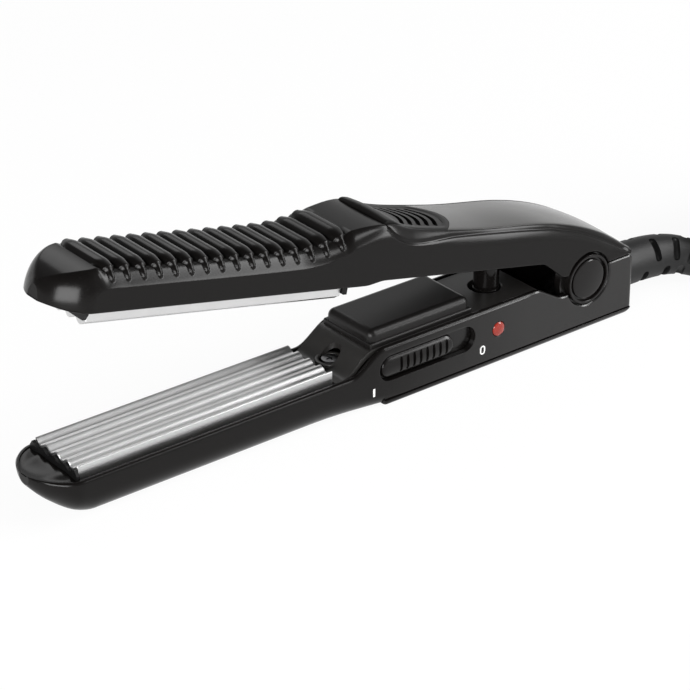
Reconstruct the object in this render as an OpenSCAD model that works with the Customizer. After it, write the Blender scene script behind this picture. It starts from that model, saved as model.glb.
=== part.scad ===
// Hair crimper: two sprung arms on one hinge, corrugated metal plates in the jaws,
// a slide switch in the side of the handle and a mains lead at the back.
// All pieces are drawn about the hinge axis: X runs from the nose to the lead, Y across, Z up.
// The upper arm is drawn shut, flat on the lower one, and is then swung open.

/* [Arms] */
// Width of both arms across the hinge axis
arm_w = 30; // [27:0.5:34]
// Thickness of the moulded side walls
wall = 2; // [1.7:0.1:2.3]
// Height of the hinge axis above the table
axis_h = 18.5; // [17.5:0.5:22]
// Angle between the arms at rest
open_angle = 12.5; // [9:0.5:15]
// Distance from the hinge axis to the back of the case
tail_reach = 20.5; // [19.5:0.5:26]
// Length of the rounded nose in front of the plates
nose_len = 13; // [10:0.5:18]
// Gap between pieces that move past each other
run_gap = 0.3; // [0.2:0.05:0.4]
// Gap between pieces that are fitted together
fit_gap = 0.15; // [0.1:0.05:0.25]

/* [Lower arm] */
// Drop of the jaw rim below the hinge axis
jaw_rim = 4.5; // [3.5:0.25:5]
// Rise of the handle rim above the hinge axis
handle_rim = 2.5; // [2:0.25:3.2]
// Distance from the hinge axis to the foot of the ramp between jaw and handle
ramp_foot = 101; // [99:0.5:104]
// Length of the ramp
ramp_run = 14; // [11:0.5:18]
// Radius of the lower corners along the jaw
jaw_round = 8.3; // [6:0.1:9]
// Radius of the lower corners along the handle
handle_round = 1.2; // [0.8:0.1:2]
// Height of the top of the rear case above the hinge axis
rear_top = 3.3; // [2.8:0.1:4]
// Height of the parting line of the bottom cover above the table
cover_h = 2.5; // [2:0.1:3]
// Distance from the hinge axis to the front end of the bottom cover
cover_front = 87.5; // [84:0.5:92]
// Thickness of the deck between the handle rims
deck_t = 2; // [1.6:0.1:2.4]
// Length of the raised block on the deck
block_len = 41.8; // [34:0.2:43]
// Height of the raised block above the deck
block_h = 5.7; // [4:0.1:6]

/* [Plates] */
// Distance from the hinge axis to the rear end of the plates
plate_rear = 106; // [105:0.5:112]
// Length of the plates
plate_len = 96; // [80:1:110]
// Width of the plates
plate_w = 23; // [21:0.5:23.5]
// Distance from ridge to ridge
ridge_pitch = 5.75; // [5:0.05:6.5]
// Height of the ridges from trough to crest
ridge_h = 1.5; // [1:0.1:1.8]
// Drop of the lower ridges' crests below the hinge axis
crest_drop = 1; // [0.6:0.1:1.6]
// Gap left for hair between the plates when the jaws meet
hair_gap = 0.4; // [0.3:0.05:0.6]
// Thickness of the heating element behind each plate
heater_t = 2.6; // [2:0.1:3]

/* [Upper arm] */
// Height of the upper jaw's edge above the hinge axis when shut
jaw_edge = 5.5; // [5:0.1:6.5]
// Height of the upper handle's edge above the hinge axis when shut
handle_edge = 6.75; // [6:0.05:7.5]
// Height of the jaw's roof between the ribs when shut
jaw_crown = 18.4; // [17.5:0.1:19.5]
// Height of the hump in front of the thumb rest when shut
hump_crown = 24.5; // [23:0.1:26]
// Height of the grip's roof when shut
grip_crown = 20.2; // [19.5:0.1:21.5]
// Width of the rounded shoulder between side and roof
shoulder_w = 3; // [2:0.1:3.6]
// Height of the rounded shoulder between side and roof
shoulder_h = 8; // [5:0.1:8.5]
// Number of cooling ribs across the jaw
rib_count = 16; // [10:1:16]
// Distance from rib to rib
rib_pitch = 5.74; // [5:0.02:5.8]
// Width of one rib
rib_w = 3.5; // [2.6:0.1:4]
// Height of one rib
rib_h = 1.3; // [0.8:0.1:1.6]
// Thickness of the roof over the hollow of the upper arm
roof_t = 3.2; // [2.8:0.1:3.8]
// Thickness of the top panel and the thumb rest
panel_t = 1.5; // [1.2:0.1:1.8]
// Length of the thumb rest
thumb_len = 34.5; // [32:0.5:38]
// Number of slots in the thumb rest
thumb_slots = 5; // [4:1:6]

/* [Hinge and spring] */
// Diameter of the hinge pin
pin_d = 5; // [4:0.1:6]
// Diameter of the hinge caps
cap_d = 17.6; // [16:0.1:18.4]
// Distance from the hinge axis to the spring
spring_at = 32.4; // [30:0.1:36]
// Outer diameter of the spring tube
tube_d = 8.6; // [8:0.1:9]
// Diameter of the spring post
post_d = 4; // [3.6:0.1:4.4]
// Diameter of the spring wire
wire_d = 0.8; // [0.6:0.05:0.9]
// Number of turns in the spring
spring_turns = 8; // [6:1:9]

/* [Switch and lamp] */
// Length of the switch slot
slot_len = 39.7; // [38:0.1:42]
// Height of the switch slot
slot_h = 9; // [8:0.1:10]
// Distance from the hinge axis to the middle of the switch slot
slot_at = 69.65; // [68:0.05:71]
// Drop of the switch slot below the hinge axis
slot_drop = 5.3; // [5:0.1:6]
// Number of grip grooves in the knob
knob_grooves = 8; // [5:1:8]
// Diameter of the lamp lens
lens_d = 5; // [4:0.1:6]
// Distance from the hinge axis to the lamp lens
lens_at = 39.7; // [38:0.1:42]

/* [Lead] */
// Diameter of the mains lead
cord_d = 6; // [5:0.1:7]
// Diameter of the strain relief where it leaves the case
boot_d = 15.4; // [13:0.1:16]
// Diameter of the strain relief at its free end
boot_tip_d = 11.6; // [10:0.1:12.5]
// Straight length of the runs in the lead's hank
hank_run = 48; // [40:1:50]

/* [Hidden] */
$fn = 48;

// Overlap that lets a cut run clear of the face it opens
over = 1;
half_arm = arm_w / 2;
inner_half = half_arm - wall;
jaw_front = -(plate_rear + plate_len);
jaw_back = -plate_rear;
reach = nose_len - jaw_front;
hinge_x = (reach - tail_reach) / 2;

// Rounding of the nose in plan and of its keel
nose_power = 1.6;
keel_power = 1.5;
keel_run = nose_len + 5;
dish_depth = 1.3;
dish_half = 9.5;
dish_r = (pow(dish_half, 2) + pow(dish_depth, 2)) / (2 * dish_depth);
tip_flat = 0.35;
arc_steps = 4;

// Rounding of the back of the case
back_round = 3;
back_corner = 1.5;
round_from = -114;
round_to = -64;

// Notch that leaves room for the upper arm in front of the hinge
notch_front = -22;
notch_x = -12.4;
notch_z = -3.2;

// Hinge: cap recess, lower bosses, upper ears
recess_r = cap_d / 2 + 0.7;
boss_r = recess_r + 1.5;
boss_out = inner_half - run_gap;
boss_in = boss_out - 2.7;
ear_r = 6.5;
ear_out = boss_in - run_gap;
ear_in = ear_out - 3.2;
pin_run = 0.05;
pin_half = boss_out + 1.2;
cap_lip = 0.15;
cap_rim = 1;
cap_groove = 0.8;
cap_disc_r = 7.1;
cap_dome_r = 42;

// Lower hollow
floor_t = 1.8;
part_z = cover_h - axis_h;
floor_z = part_z + floor_t;
rear_block = 9.5;
jaw_floor = 3.5 - axis_h;
jaw_floor_half = 9.5;
jaw_corner_z = -9.5;
window_front = -74;
window_back = 4;
window_half = 10;

// Plates and what holds them
trough_z = -crest_drop - ridge_h;
flange_w = 1.8;
plate_t = 2.5;
flange_drop = 2;
plate_end_gap = 0.2;
lower_seat = trough_z - plate_t;
upper_lift = 2.2;
upper_rise = hair_gap + upper_lift;
wave_steps = 10;
upper_seat = 3;
upper_flange = 4.5;
carrier_end_gap = 2;
heater_half = 7.5;
heater_inset = 12;
retainer_t = 1.1;
retainer_foot = -9;
retainer_step = 0.8;
tab_drop = 3;
tab_back = 1.6;
hollow_front = jaw_front - retainer_t - plate_end_gap;

// Deck, its screw and the raised block
deck_z = handle_rim - 0.5;
deck_half = inner_half - run_gap;
deck_back = -21.5;
deck_front = jaw_back + 0.4;
deck_foot = -jaw_rim - 0.5;
screw_at = -98;
well_d = 7;
well_floor = -5.6;
collar_h = 1.4;
boss_top = -9;
head_d = 5.6;
head_h = 2;
shank_d = 2.9;
block_front = -91;
block_half = 11.6;
block_round = 2;
flange_h = 1.8;
flange_out = 0.6;

// Screws under the handle
cover_screws = [[-81, 0], [14, -9.2], [14, 9.2]];
sink_d = 6;
sink_h = 1.6;
pilot_depth = 7;

// Switch
pad_t = 1.6;
pad_margin = 3;
pad_half = inner_half - pad_t;
knob_t = wall - 0.2;
knob_h = slot_h - 0.8;
stem_len = 8;
stem_h = 3;
stem_in = 1.8;
travel = 8;
knob_end_gap = 0.85;
knob_len = slot_len - travel - 2 * knob_end_gap;
knob_x = -slot_at - travel / 2;
knob_bow = 12;
groove_pitch = 2.7;
groove_w = 1.1;
groove_shift = 2.3;
switch_len = 24;
switch_h = 7.4;
switch_deep = 6;
switch_rise = 0.4;

// Lamp
lens_z = -5.9;
lens_lip = 1;
lens_flange_d = lens_d + 2;
lamp_d = 4;
lamp_len = 8;
lens_dome_r = 8.4;
lens_rise = 0.4;

// Spring
hole_r = 5.5;
hole_x = -spring_at - 0.65;
tube_foot = 1;
tube_wall = 0.8;
post_base_d = 12;
post_base_t = 1.5;
post_top = -2;
liner_z = 9;
liner_t = 1.6;
liner_front = -104;
liner_back = -19;
liner_screws_x = [-98, -46];
liner_boss_d = 7;

// Outline of the upper arm in side view, shut: lower edge, then roof
sin_open = sin(open_angle);
cos_open = cos(open_angle);
tail_tip = tail_reach - 2.5;
function tail_edge(x) = (rear_top + run_gap + x * sin_open) / cos_open;
edge_line = [
    [-reach, jaw_edge + 0.6], [jaw_front - 6, jaw_edge], [jaw_back + 8, jaw_edge],
    [jaw_back + 14, handle_edge], [notch_front, handle_edge], [-11.6, 1.2],
    [8.5, tail_edge(8.5)], [tail_tip, tail_edge(tail_tip)]
];
crown_line = [
    [-reach, jaw_edge + 3.6], [jaw_front - 9, jaw_crown - 5.1], [jaw_front - 3, jaw_crown - 1.9],
    [jaw_front + 3, jaw_crown - 0.2], [jaw_front + 12, jaw_crown], [jaw_back - 20, jaw_crown + 0.3],
    [jaw_back - 10, jaw_crown + 1.6], [jaw_back, hump_crown - 1.6], [jaw_back + 9, hump_crown],
    [jaw_back + 16, hump_crown], [jaw_back + 25, grip_crown + 2.2], [jaw_back + 36, grip_crown + 1],
    [-50, grip_crown], [-25, grip_crown - 0.1], [-9, grip_crown - 1.8], [5, grip_crown - 5.2],
    [tail_tip, tail_edge(tail_tip) + 1.9]
];
hollow_back = 11;
carrier_top = crown(hollow_front) - roof_t - run_gap;
thumb_front = jaw_back + 13;
thumb_back = thumb_front + thumb_len;
panel_half = half_arm - shoulder_w - 0.3;
lip_h = 0.8;
lip_run = 8;
pad_bulge = 7.5;
pad_steps = 8;
slot_pitch = 3.6;
slot_w = 1.6;
slot_depth = 0.6;
slot_half = 7;
slot_inset = 6;
strip_back = tail_tip - 1;
ear_skin = 0.6;
first_rib = jaw_front + 5.8;
nose_shoulder = 8;

// Lead: the strain relief bends along a curve, then the lead runs to a tied hank on the table
boot_axis = [[tail_reach + hinge_x, 0, 9.3], [141, 0, 9.5], [149.5, -1.5, 9], [155, -12, 6]];
boot_rings = 14;
boot_sides = 16;
boot_slots = 6;
boot_collar = 0.24;
boot_slot = [2.8, 6.4, 9];
boot_bore = 9;
boot_flange_d = 11;
boot_flange_t = 2;
lead_route = [
    [155, -12, 6], [157.5, -16.4, 4.9], [160.5, -20, 4.1], [164.5, -23.3, 3.5], [169, -26, 3.2],
    [174, -28, 3.1], [179.5, -29.2, 3.2], [185, -29.6, 3.5], [188.5, -29.6, 3.8]
];
cord_sides = 10;
hank_at = [188.5, -11.6];
hank_w = 54;
hank_hole = 30;
hank_h = 30;
tie_t = 0.8;
tie_w = 10;
tie_gap = 0.2;
hank_end = [hank_at[0] + hank_run, 0, 0];
tail_steps = [
    [0, -35.6, 3.3], [5.2, -35, 3.3], [10.1, -33.4, 3.6], [16, -30.6, 4.3], [21.9, -27.9, 5.3],
    [26.9, -26.2, 6.2], [32, -25.6, 6.9], [35.5, -25.6, 7]
];
tail_route = [for (p = tail_steps) p + hank_end];
plug_at = tail_route[len(tail_route) - 1];
plug_boot_len = 10;
plug_boot_d = 9;
plug_len = 32;
plug_w = 28;
plug_nose_w = 25;
plug_t = 13.6;
plug_taper = 10;
plug_round = 4;
plug_pin_d = 4;
plug_pin_len = 19;
plug_pin_gap = 18.6;

// Small mathematics
function mix(a, b, t) = a + (b - a) * t;
function span(x, a, b) = max(0, min(1, (x - a) / (b - a)));
function ease(t) = t * t * (3 - 2 * t);
function fall(t, power) = pow(max(0, 1 - pow(t, power)), 1 / power);
function piece(x, line, i = 0) = i >= len(line) - 2 || x < line[i + 1][0] ? i : piece(x, line, i + 1);
function lean(line, i) =
    let (a = line[max(0, i - 1)], b = line[min(len(line) - 1, i + 1)]) (b[1] - a[1]) / (b[0] - a[0]);
function flow(x, line) =
    let (i = piece(x, line), a = line[i], b = line[i + 1], run = b[0] - a[0], t = span(x, a[0], b[0]))
    a[1] * (1 - ease(t)) + b[1] * ease(t)
    + run * (lean(line, i) * t * (1 - t) * (1 - t) - lean(line, i + 1) * t * t * (1 - t));

// Plan of both arms, and side view of the lower arm
function half_width(x) =
    x < jaw_front ? half_arm * fall((jaw_front - x) / nose_len, nose_power)
    : x > tail_reach - back_corner ? half_arm - back_corner
        + sqrt(max(0, pow(back_corner, 2) - pow(x - tail_reach + back_corner, 2)))
    : half_arm;
function rim(x) =
    x > notch_front ? rear_top
    : mix(-jaw_rim, handle_rim, ease(span(x, -ramp_foot, ramp_run - ramp_foot)));
function keel(x) =
    let (root = keel_run - reach, back = tail_reach - back_round)
    x < root ? -jaw_rim - (axis_h - jaw_rim) * fall((root - x) / keel_run, keel_power)
    : x > back ? back_round - axis_h - sqrt(max(0, pow(back_round, 2) - pow(x - back, 2)))
    : -axis_h;
function belly(x) = mix(jaw_round, handle_round, ease(span(x, round_from, round_to)));
function crown(x) = flow(x, crown_line);
function rib_rise(x) =
    let (n = round((x - first_rib) / rib_pitch), off = 2 * (x - first_rib - n * rib_pitch) / rib_w)
    n < 0 || n >= rib_count || abs(off) >= 1 ? 0 : rib_h * sqrt(1 - off * off);

// Cross-sections of the arms: a flat edge, two straight sides and two rounded corners
function half_section(x, w, edge, far, rw, rh) =
    concat([[x, -w, edge]],
        [for (k = [0:arc_steps])
            let (a = 90 * k / arc_steps) [x, rw - w - rw * cos(a), far - rh + rh * sin(a)]]);
function section(x, w, edge, far, rw, rh) =
    let (side = half_section(x, w, edge, far, rw, rh), n = len(side))
    concat(side, [for (k = [n - 1:-1:0]) [x, -side[k][1], side[k][2]]]);
function lower_section(x) =
    let (w = half_width(x), top = rim(x), low = keel(x), r = min(belly(x), 0.9 * w, 0.9 * (top - low)),
        ring = section(x, w, top, low, r, -r), n = len(ring))
    [for (k = [n - 1:-1:0]) ring[k]];
function upper_section(x) =
    let (w = half_width(min(x, 0)), low = lookup(x, edge_line), rise = rib_rise(x),
        top = crown(x) + rise,
        soft = mix(nose_shoulder, shoulder_w, ease(span(x, -reach, jaw_front))),
        rw = min(soft, 0.9 * w), rh = min(shoulder_h + rise, 0.9 * (top - low)))
    section(x, w, low, top, rw, rh);

// Places along the arms where a cross-section is taken
nose_places = [for (k = [0:8]) tip_flat - reach + (keel_run - tip_flat) * (1 - cos(k * 90 / 8))];
lower_places = concat(nose_places,
    [round_from], [for (k = [0:6]) -ramp_foot + ramp_run * k / 6],
    [mix(ramp_run - ramp_foot, round_to, 0.5), round_to, mix(round_to, notch_front, 0.5), notch_front],
    [notch_front + 0.5, tail_reach - back_round],
    [for (k = [1:5]) tail_reach - back_round * (1 - sin(k * 90 / 5))]);
rib_places = [for (n = [0:rib_count - 1], u = [-0.5, -0.35, 0, 0.35, 0.5])
    first_rib + n * rib_pitch + u * rib_w];
hump_places = [for (k = [1:14]) mix(rib_places[len(rib_places) - 1], thumb_back - 15, k / 14)];
grip_places = [thumb_back, -45, -30, notch_front, -16, -11.6, -5, 0, 5, 8.5, 13, tail_tip];
upper_places = concat([for (x = nose_places) if (x < rib_places[0] - 0.4) x],
    rib_places, hump_places, grip_places);
roof_places = concat(hump_places, grip_places);

// Skin over a row of rings that all have the same number of points
module skin(rings) {
    n = len(rings[0]);
    m = len(rings);
    sides = [for (i = [0:m - 2], j = [0:n - 1])
        let (a = i * n + j, b = i * n + (j + 1) % n)
        each [[a, b, b + n], [a, b + n, a + n]]];
    ends = [[for (j = [n - 1:-1:0]) j], [for (j = [0:n - 1]) (m - 1) * n + j]];
    polyhedron([for (r = rings) each r], concat(sides, ends));
}

// Frames: about the hinge axis, and swung open with the upper arm
module at_hinge() {
    translate([hinge_x, 0, axis_h]) children();
}
module swung() {
    at_hinge() rotate([0, open_angle, 0]) children();
}

// Side view in X and Z, drawn across the arm between two places in Y
module across(from, to) {
    translate([0, to, 0]) rotate([90, 0, 0]) linear_extrude(to - from) children();
}

// Front view in Y and Z, drawn along the arm between two places in X
module along(from, to) {
    translate([from, 0, 0]) rotate([90, 0, 90]) linear_extrude(to - from) children();
}

// Round bar across the arm at the hinge axis
module cross_bar(d, from, to) {
    translate([0, to, 0]) rotate([90, 0, 0]) cylinder(d = d, h = to - from);
}

module upright(x, d, from, to, y = 0) {
    translate([x, y, from]) cylinder(d = d, h = to - from);
}

// Cross recess in a screw head
module cross_slot(at) {
    for (turn = [0, 90]) translate(at) rotate([0, 0, turn]) cube([3, 0.7, 2], center = true);
}

// Round bar along the arm where the lead passes through the back of the case
module lead_bore(d, from, to) {
    translate([from, 0, boot_axis[0][2] - axis_h]) rotate([0, 90, 0]) cylinder(d = d, h = to - from);
}

module both_sides() {
    children();
    mirror([0, 1, 0]) children();
}

module box(low, high) {
    translate(low) cube(high - low);
}

module round_rect(w, h, r) {
    square([w - 2 * r, h], center = true);
    square([w, h - 2 * r], center = true);
    for (sx = [-1, 1], sy = [-1, 1])
        translate([sx * (w / 2 - r), sy * (h / 2 - r)]) circle(r);
}

module stadium(w, h) {
    square([w - h, h], center = true);
    for (s = [-1, 1]) translate([s * (w - h) / 2, 0]) circle(d = h);
}

// Corrugation shared by both plates: one crest of the lower plate runs along its middle
function wave(y) = trough_z + ridge_h * (1 + cos(360 * y / ridge_pitch)) / 2;
function wave_points(half, rise) =
    let (n = ceil(2 * half / ridge_pitch * wave_steps))
    [for (k = [0:n]) let (y = half * (2 * k / n - 1)) [y, wave(y) + rise]];

// Lower arm

module lower_body() {
    skin([for (x = lower_places) lower_section(x)]);
}

module lower_hollow() {
    along(hollow_front, -ramp_foot)
        polygon([[-inner_half, over], [inner_half, over], [inner_half, jaw_corner_z],
            [jaw_floor_half, jaw_floor], [-jaw_floor_half, jaw_floor], [-inner_half, jaw_corner_z]]);
    box([-ramp_foot - 2, -inner_half, floor_z], [rear_block, inner_half, rear_top + over]);
}

module hinge_notch() {
    across(-half_arm - over, half_arm + over)
        polygon([[notch_front, rear_top + over], [notch_front, handle_rim], [notch_x, notch_z],
            [0, notch_z], [rear_block - 0.5, rear_top], [rear_block - 0.5, rear_top + over]]);
}

module switch_slot(deep) {
    translate([-slot_at, 0, -slot_drop]) rotate([90, 0, 0])
        translate([0, 0, half_arm - deep]) linear_extrude(deep + over) stadium(slot_len, slot_h);
}

// Slot for the stem of the knob, down to a depth behind the pad
module stem_slot(deep) {
    box([knob_x - stem_len / 2 - 0.5, -half_arm, -slot_drop - stem_h / 2 - run_gap],
        [knob_x + stem_len / 2 + travel + 0.5, deep - pad_half, -slot_drop + stem_h / 2 + run_gap]);
}

module cover_room(gap) {
    box([-cover_front - gap, -half_arm - over, -axis_h - over],
        [tail_reach + over, half_arm + over, part_z]);
}

module lower_shell() {
    color([0.09, 0.09, 0.09]) at_hinge() difference() {
        union() {
            difference() {
                lower_body();
                lower_hollow();
                hinge_notch();
                translate([hollow_front, 0, dish_r - dish_depth - jaw_rim]) sphere(r = dish_r);
                both_sides() cross_bar(2 * recess_r, boss_out, half_arm + over);
            }
            both_sides() cross_bar(2 * boss_r, boss_in, boss_out);
            both_sides() intersection() {
                cross_bar(2 * boss_r, boss_out - over, inner_half + 0.5);
                difference() {
                    box([-boss_r, 0, -boss_r], [boss_r, half_arm, notch_z]);
                    cross_bar(2 * recess_r, boss_out, half_arm);
                }
            }
            box([-slot_at - slot_len / 2 - pad_margin, -inner_half - 0.5, -slot_drop - slot_h / 2 - 1.2],
                [-slot_at + slot_len / 2 + pad_margin, -pad_half, -slot_drop + slot_h / 2 + 0.6]);
            upright(screw_at, well_d, floor_z - 0.5, boss_top);
            upright(cover_screws[0][0], well_d, floor_z - 0.5, part_z + pilot_depth);
        }
        cover_room(fit_gap);
        box([window_front, -window_half, part_z - over], [window_back, window_half, floor_z + over]);
        both_sides() cross_bar(pin_d, boss_in - over, boss_out + over);
        switch_slot(wall);
        stem_slot(over);
        translate([-lens_at, -inner_half + over, lens_z]) rotate([90, 0, 0])
            cylinder(d = lens_d, h = wall + 2 * over);
        upright(screw_at, shank_d, floor_z + 0.5, boss_top + over);
        for (p = cover_screws) upright(p[0], shank_d, part_z - over, part_z + pilot_depth - 1, p[1]);
        lead_bore(boot_bore, rear_block - over, tail_reach + over);
        lead_bore(boot_flange_d + 2 * fit_gap, rear_block - boot_flange_t - fit_gap, rear_block);
    }
}

module bottom_cover() {
    color([0.10, 0.10, 0.10]) at_hinge() difference() {
        union() {
            intersection() {
                lower_body();
                box([-cover_front, -half_arm, -axis_h], [tail_reach, half_arm, part_z - fit_gap]);
            }
            box([window_front + fit_gap, -window_half + fit_gap, part_z - 0.5],
                [window_back - fit_gap, window_half - fit_gap, part_z + 1]);
        }
        box([window_front + 2, -window_half + 2, part_z - fit_gap],
            [window_back - 2, window_half - 2, part_z + 2]);
        for (p = cover_screws) {
            upright(p[0], shank_d + 0.3, -axis_h - over, part_z + over, p[1]);
            upright(p[0], sink_d, -axis_h - over, sink_h - axis_h, p[1]);
        }
    }
}

module bottom_screws() {
    color([0.55, 0.55, 0.57]) at_hinge() for (p = cover_screws) {
        difference() {
            upright(p[0], head_d, 0.3 - axis_h, sink_h - axis_h, p[1]);
            cross_slot([p[0], p[1], -axis_h]);
        }
        upright(p[0], shank_d - 0.02, sink_h - axis_h - 0.1, part_z + pilot_depth - 1.5, p[1]);
    }
}

module lower_plate() {
    half = plate_w / 2;
    color([0.76, 0.76, 0.77]) at_hinge() along(jaw_front, jaw_back)
        polygon(concat(wave_points(half, 0),
            [[half, lower_seat - flange_drop], [half - flange_w, lower_seat - flange_drop],
                [half - flange_w, lower_seat], [flange_w - half, lower_seat],
                [flange_w - half, lower_seat - flange_drop], [-half, lower_seat - flange_drop]]));
}

module lower_heater() {
    color([0.85, 0.84, 0.80]) at_hinge()
        box([jaw_front + heater_inset, -heater_half, lower_seat - heater_t],
            [jaw_back - heater_inset, heater_half, lower_seat]);
}

module lower_carrier() {
    seat = lower_seat - flange_drop;
    color([0.30, 0.24, 0.18]) at_hinge() difference() {
        along(jaw_front + plate_end_gap, jaw_back - carrier_end_gap)
            polygon([[-deck_half, seat], [deck_half, seat], [deck_half, jaw_corner_z - run_gap],
                [jaw_floor_half - run_gap, jaw_floor], [run_gap - jaw_floor_half, jaw_floor],
                [-deck_half, jaw_corner_z - run_gap]]);
        box([jaw_front + heater_inset - fit_gap, -heater_half - fit_gap, lower_seat - heater_t],
            [jaw_back - heater_inset + fit_gap, heater_half + fit_gap, seat + over]);
    }
}

module lower_retainer() {
    color([0.05, 0.05, 0.05]) at_hinge()
        along(hollow_front + plate_end_gap / 2, jaw_front - plate_end_gap / 2)
            polygon(concat([[-deck_half, retainer_foot], [-deck_half, -jaw_rim + 1]],
                wave_points(plate_w / 2, -retainer_step), [[deck_half, -jaw_rim + 1], [deck_half, retainer_foot]]));
}

module inner_cover() {
    steps = 10;
    ramp_top = [for (k = [0:steps])
        [mix(-ramp_foot - 2, block_front, k / steps), mix(deck_foot, deck_z, ease(k / steps))]];
    ramp_low = [for (k = [steps:-1:0]) [ramp_top[k][0] + 0.6, ramp_top[k][1] - deck_t]];
    color([0.08, 0.08, 0.08]) at_hinge() difference() {
        union() {
            across(-deck_half, deck_half)
                polygon(concat([[deck_front, deck_foot]], ramp_top,
                    [[deck_back, deck_z], [deck_back, deck_z - deck_t]],
                    ramp_low, [[deck_front, deck_foot - deck_t]]));
            upright(screw_at, well_d + 3, boss_top, deck_foot + collar_h);
        }
        upright(screw_at, well_d, well_floor, deck_z);
        upright(screw_at, shank_d + 0.4, boss_top - over, well_floor + over);
        upright(hole_x, 2 * hole_r, -over, deck_z + over);
    }
}

module cover_screw() {
    color([0.16, 0.16, 0.17]) at_hinge() {
        difference() {
            upright(screw_at, head_d, well_floor, well_floor + head_h);
            cross_slot([screw_at, 0, well_floor + head_h]);
        }
        upright(screw_at, shank_d - 0.02, boss_top - 4, well_floor + 0.1);
    }
}

module stop_block() {
    mid = block_front + block_len / 2;
    color([0.10, 0.10, 0.10]) at_hinge() {
        translate([0, 0, deck_z]) intersection() {
            across(-block_half, block_half)
                translate([mid, 0]) round_rect(block_len, 2 * block_h, block_round);
            along(block_front - over, block_front + block_len + over)
                round_rect(2 * block_half, 2 * block_h, block_round);
            translate([mid, 0, 0]) linear_extrude(block_h + over)
                round_rect(block_len, 2 * block_half, block_round);
        }
        translate([mid, 0, deck_z]) linear_extrude(flange_h)
            round_rect(block_len + flange_out, 2 * block_half + 2 * flange_out, block_round);
    }
}

module switch_body() {
    mid = knob_x + travel / 2;
    top = -slot_drop + switch_h / 2 + switch_rise;
    color([0.20, 0.20, 0.22]) at_hinge() difference() {
        box([mid - switch_len / 2, -pad_half, top - switch_h],
            [mid + switch_len / 2, switch_deep - pad_half, top]);
        stem_slot(stem_in + run_gap);
    }
}

module switch_knob() {
    color([0.10, 0.10, 0.10]) at_hinge() {
        difference() {
            intersection() {
                translate([knob_x, 0, -slot_drop]) rotate([90, 0, 0])
                    translate([0, 0, half_arm - knob_t]) linear_extrude(knob_t) stadium(knob_len, knob_h);
                translate([0, knob_bow - half_arm, -slot_drop]) rotate([0, 90, 0])
                    translate([0, 0, knob_x - knob_len]) cylinder(r = knob_bow, h = 2 * knob_len);
            }
            for (k = [0:knob_grooves - 1])
                translate([knob_x + groove_shift + groove_pitch * (k - (knob_grooves - 1) / 2),
                    -half_arm, -slot_drop])
                    cylinder(d = groove_w, h = knob_h + over, center = true);
        }
        box([knob_x - stem_len / 2, -half_arm + knob_t - 0.1, -slot_drop - stem_h / 2],
            [knob_x + stem_len / 2, -pad_half + stem_in, -slot_drop + stem_h / 2]);
    }
}

module indicator_lens() {
    color([0.75, 0.12, 0.08]) at_hinge() translate([-lens_at, 0, lens_z]) rotate([90, 0, 0]) {
        translate([0, 0, inner_half - 0.1]) cylinder(d = lens_d - 0.1, h = wall + 0.1);
        translate([0, 0, inner_half - lens_lip]) cylinder(d = lens_flange_d, h = lens_lip);
        intersection() {
            translate([0, 0, half_arm + lens_rise - lens_dome_r]) sphere(r = lens_dome_r);
            translate([0, 0, half_arm - 0.5]) cylinder(d = lens_d - 0.1, h = 2);
        }
    }
}

module indicator_lamp() {
    color([0.80, 0.60, 0.45]) at_hinge() translate([-lens_at, lens_lip - inner_half + lamp_len, lens_z])
        rotate([90, 0, 0]) cylinder(d = lamp_d, h = lamp_len);
}

module hinge_pin() {
    color([0.70, 0.70, 0.72]) at_hinge() cross_bar(pin_d - 0.02, -pin_half, pin_half);
}

module hinge_caps() {
    r = cap_d / 2;
    t = half_arm + cap_lip - boss_out;
    color([0.12, 0.12, 0.12]) at_hinge() both_sides()
        translate([0, boss_out, 0]) rotate([-90, 0, 0]) difference() {
            union() {
                difference() {
                    cylinder(r = r, h = t);
                    translate([0, 0, t - cap_groove]) cylinder(r = r - cap_rim, h = 2);
                }
                intersection() {
                    translate([0, 0, t + 0.2 - cap_dome_r]) sphere(r = cap_dome_r);
                    cylinder(r = cap_disc_r, h = t + 1);
                }
            }
            translate([0, 0, -over]) cylinder(d = pin_d, h = over + pin_half - boss_out + 0.05);
        }
}

module spring_post() {
    base = part_z - fit_gap;
    color([0.14, 0.14, 0.14]) at_hinge() {
        upright(-spring_at, post_base_d, base, base + post_base_t);
        upright(-spring_at, post_d, base + post_base_t - 0.1, post_top);
    }
}

module return_spring() {
    steps = 12;
    sides = 6;
    low = part_z - fit_gap + post_base_t + wire_d / 2 + 0.05;
    high = spring_at * sin_open + liner_z * cos_open - 1.6;
    r = tube_d / 2 - tube_wall - 0.2 - wire_d / 2;
    count = spring_turns * steps;
    color([0.66, 0.66, 0.68]) at_hinge() skin([for (k = [0:count])
        let (a = 360 * k / steps, z = mix(low, high, k / count))
        [for (j = [0:sides - 1]) let (b = -360 * j / sides, out = r + wire_d / 2 * cos(b))
            [out * cos(a) - spring_at, out * sin(a), z + wire_d / 2 * sin(b)]]]);
}

// Strain relief and lead

function bend(t) =
    let (s = 1 - t, p = boot_axis)
    s * s * s * p[0] + 3 * s * s * t * p[1] + 3 * s * t * t * p[2] + t * t * t * p[3];
function heading(p, q) = (q - p) / norm(q - p);
function route_heading(route, i) =
    heading(route[max(0, i - 1)], route[min(len(route) - 1, i + 1)]);
function hoop(middle, direction, r, n) =
    let (flat = cross(direction, [0, 0, 1]), side = flat / norm(flat), up = cross(side, direction))
    [for (j = [0:n - 1]) let (a = 360 * j / n) middle + r * (cos(a) * side + sin(a) * up)];
module tube_along(route, r, n) {
    skin([for (i = [0:len(route) - 1]) hoop(route[i], route_heading(route, i), r, n)]);
}

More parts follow.
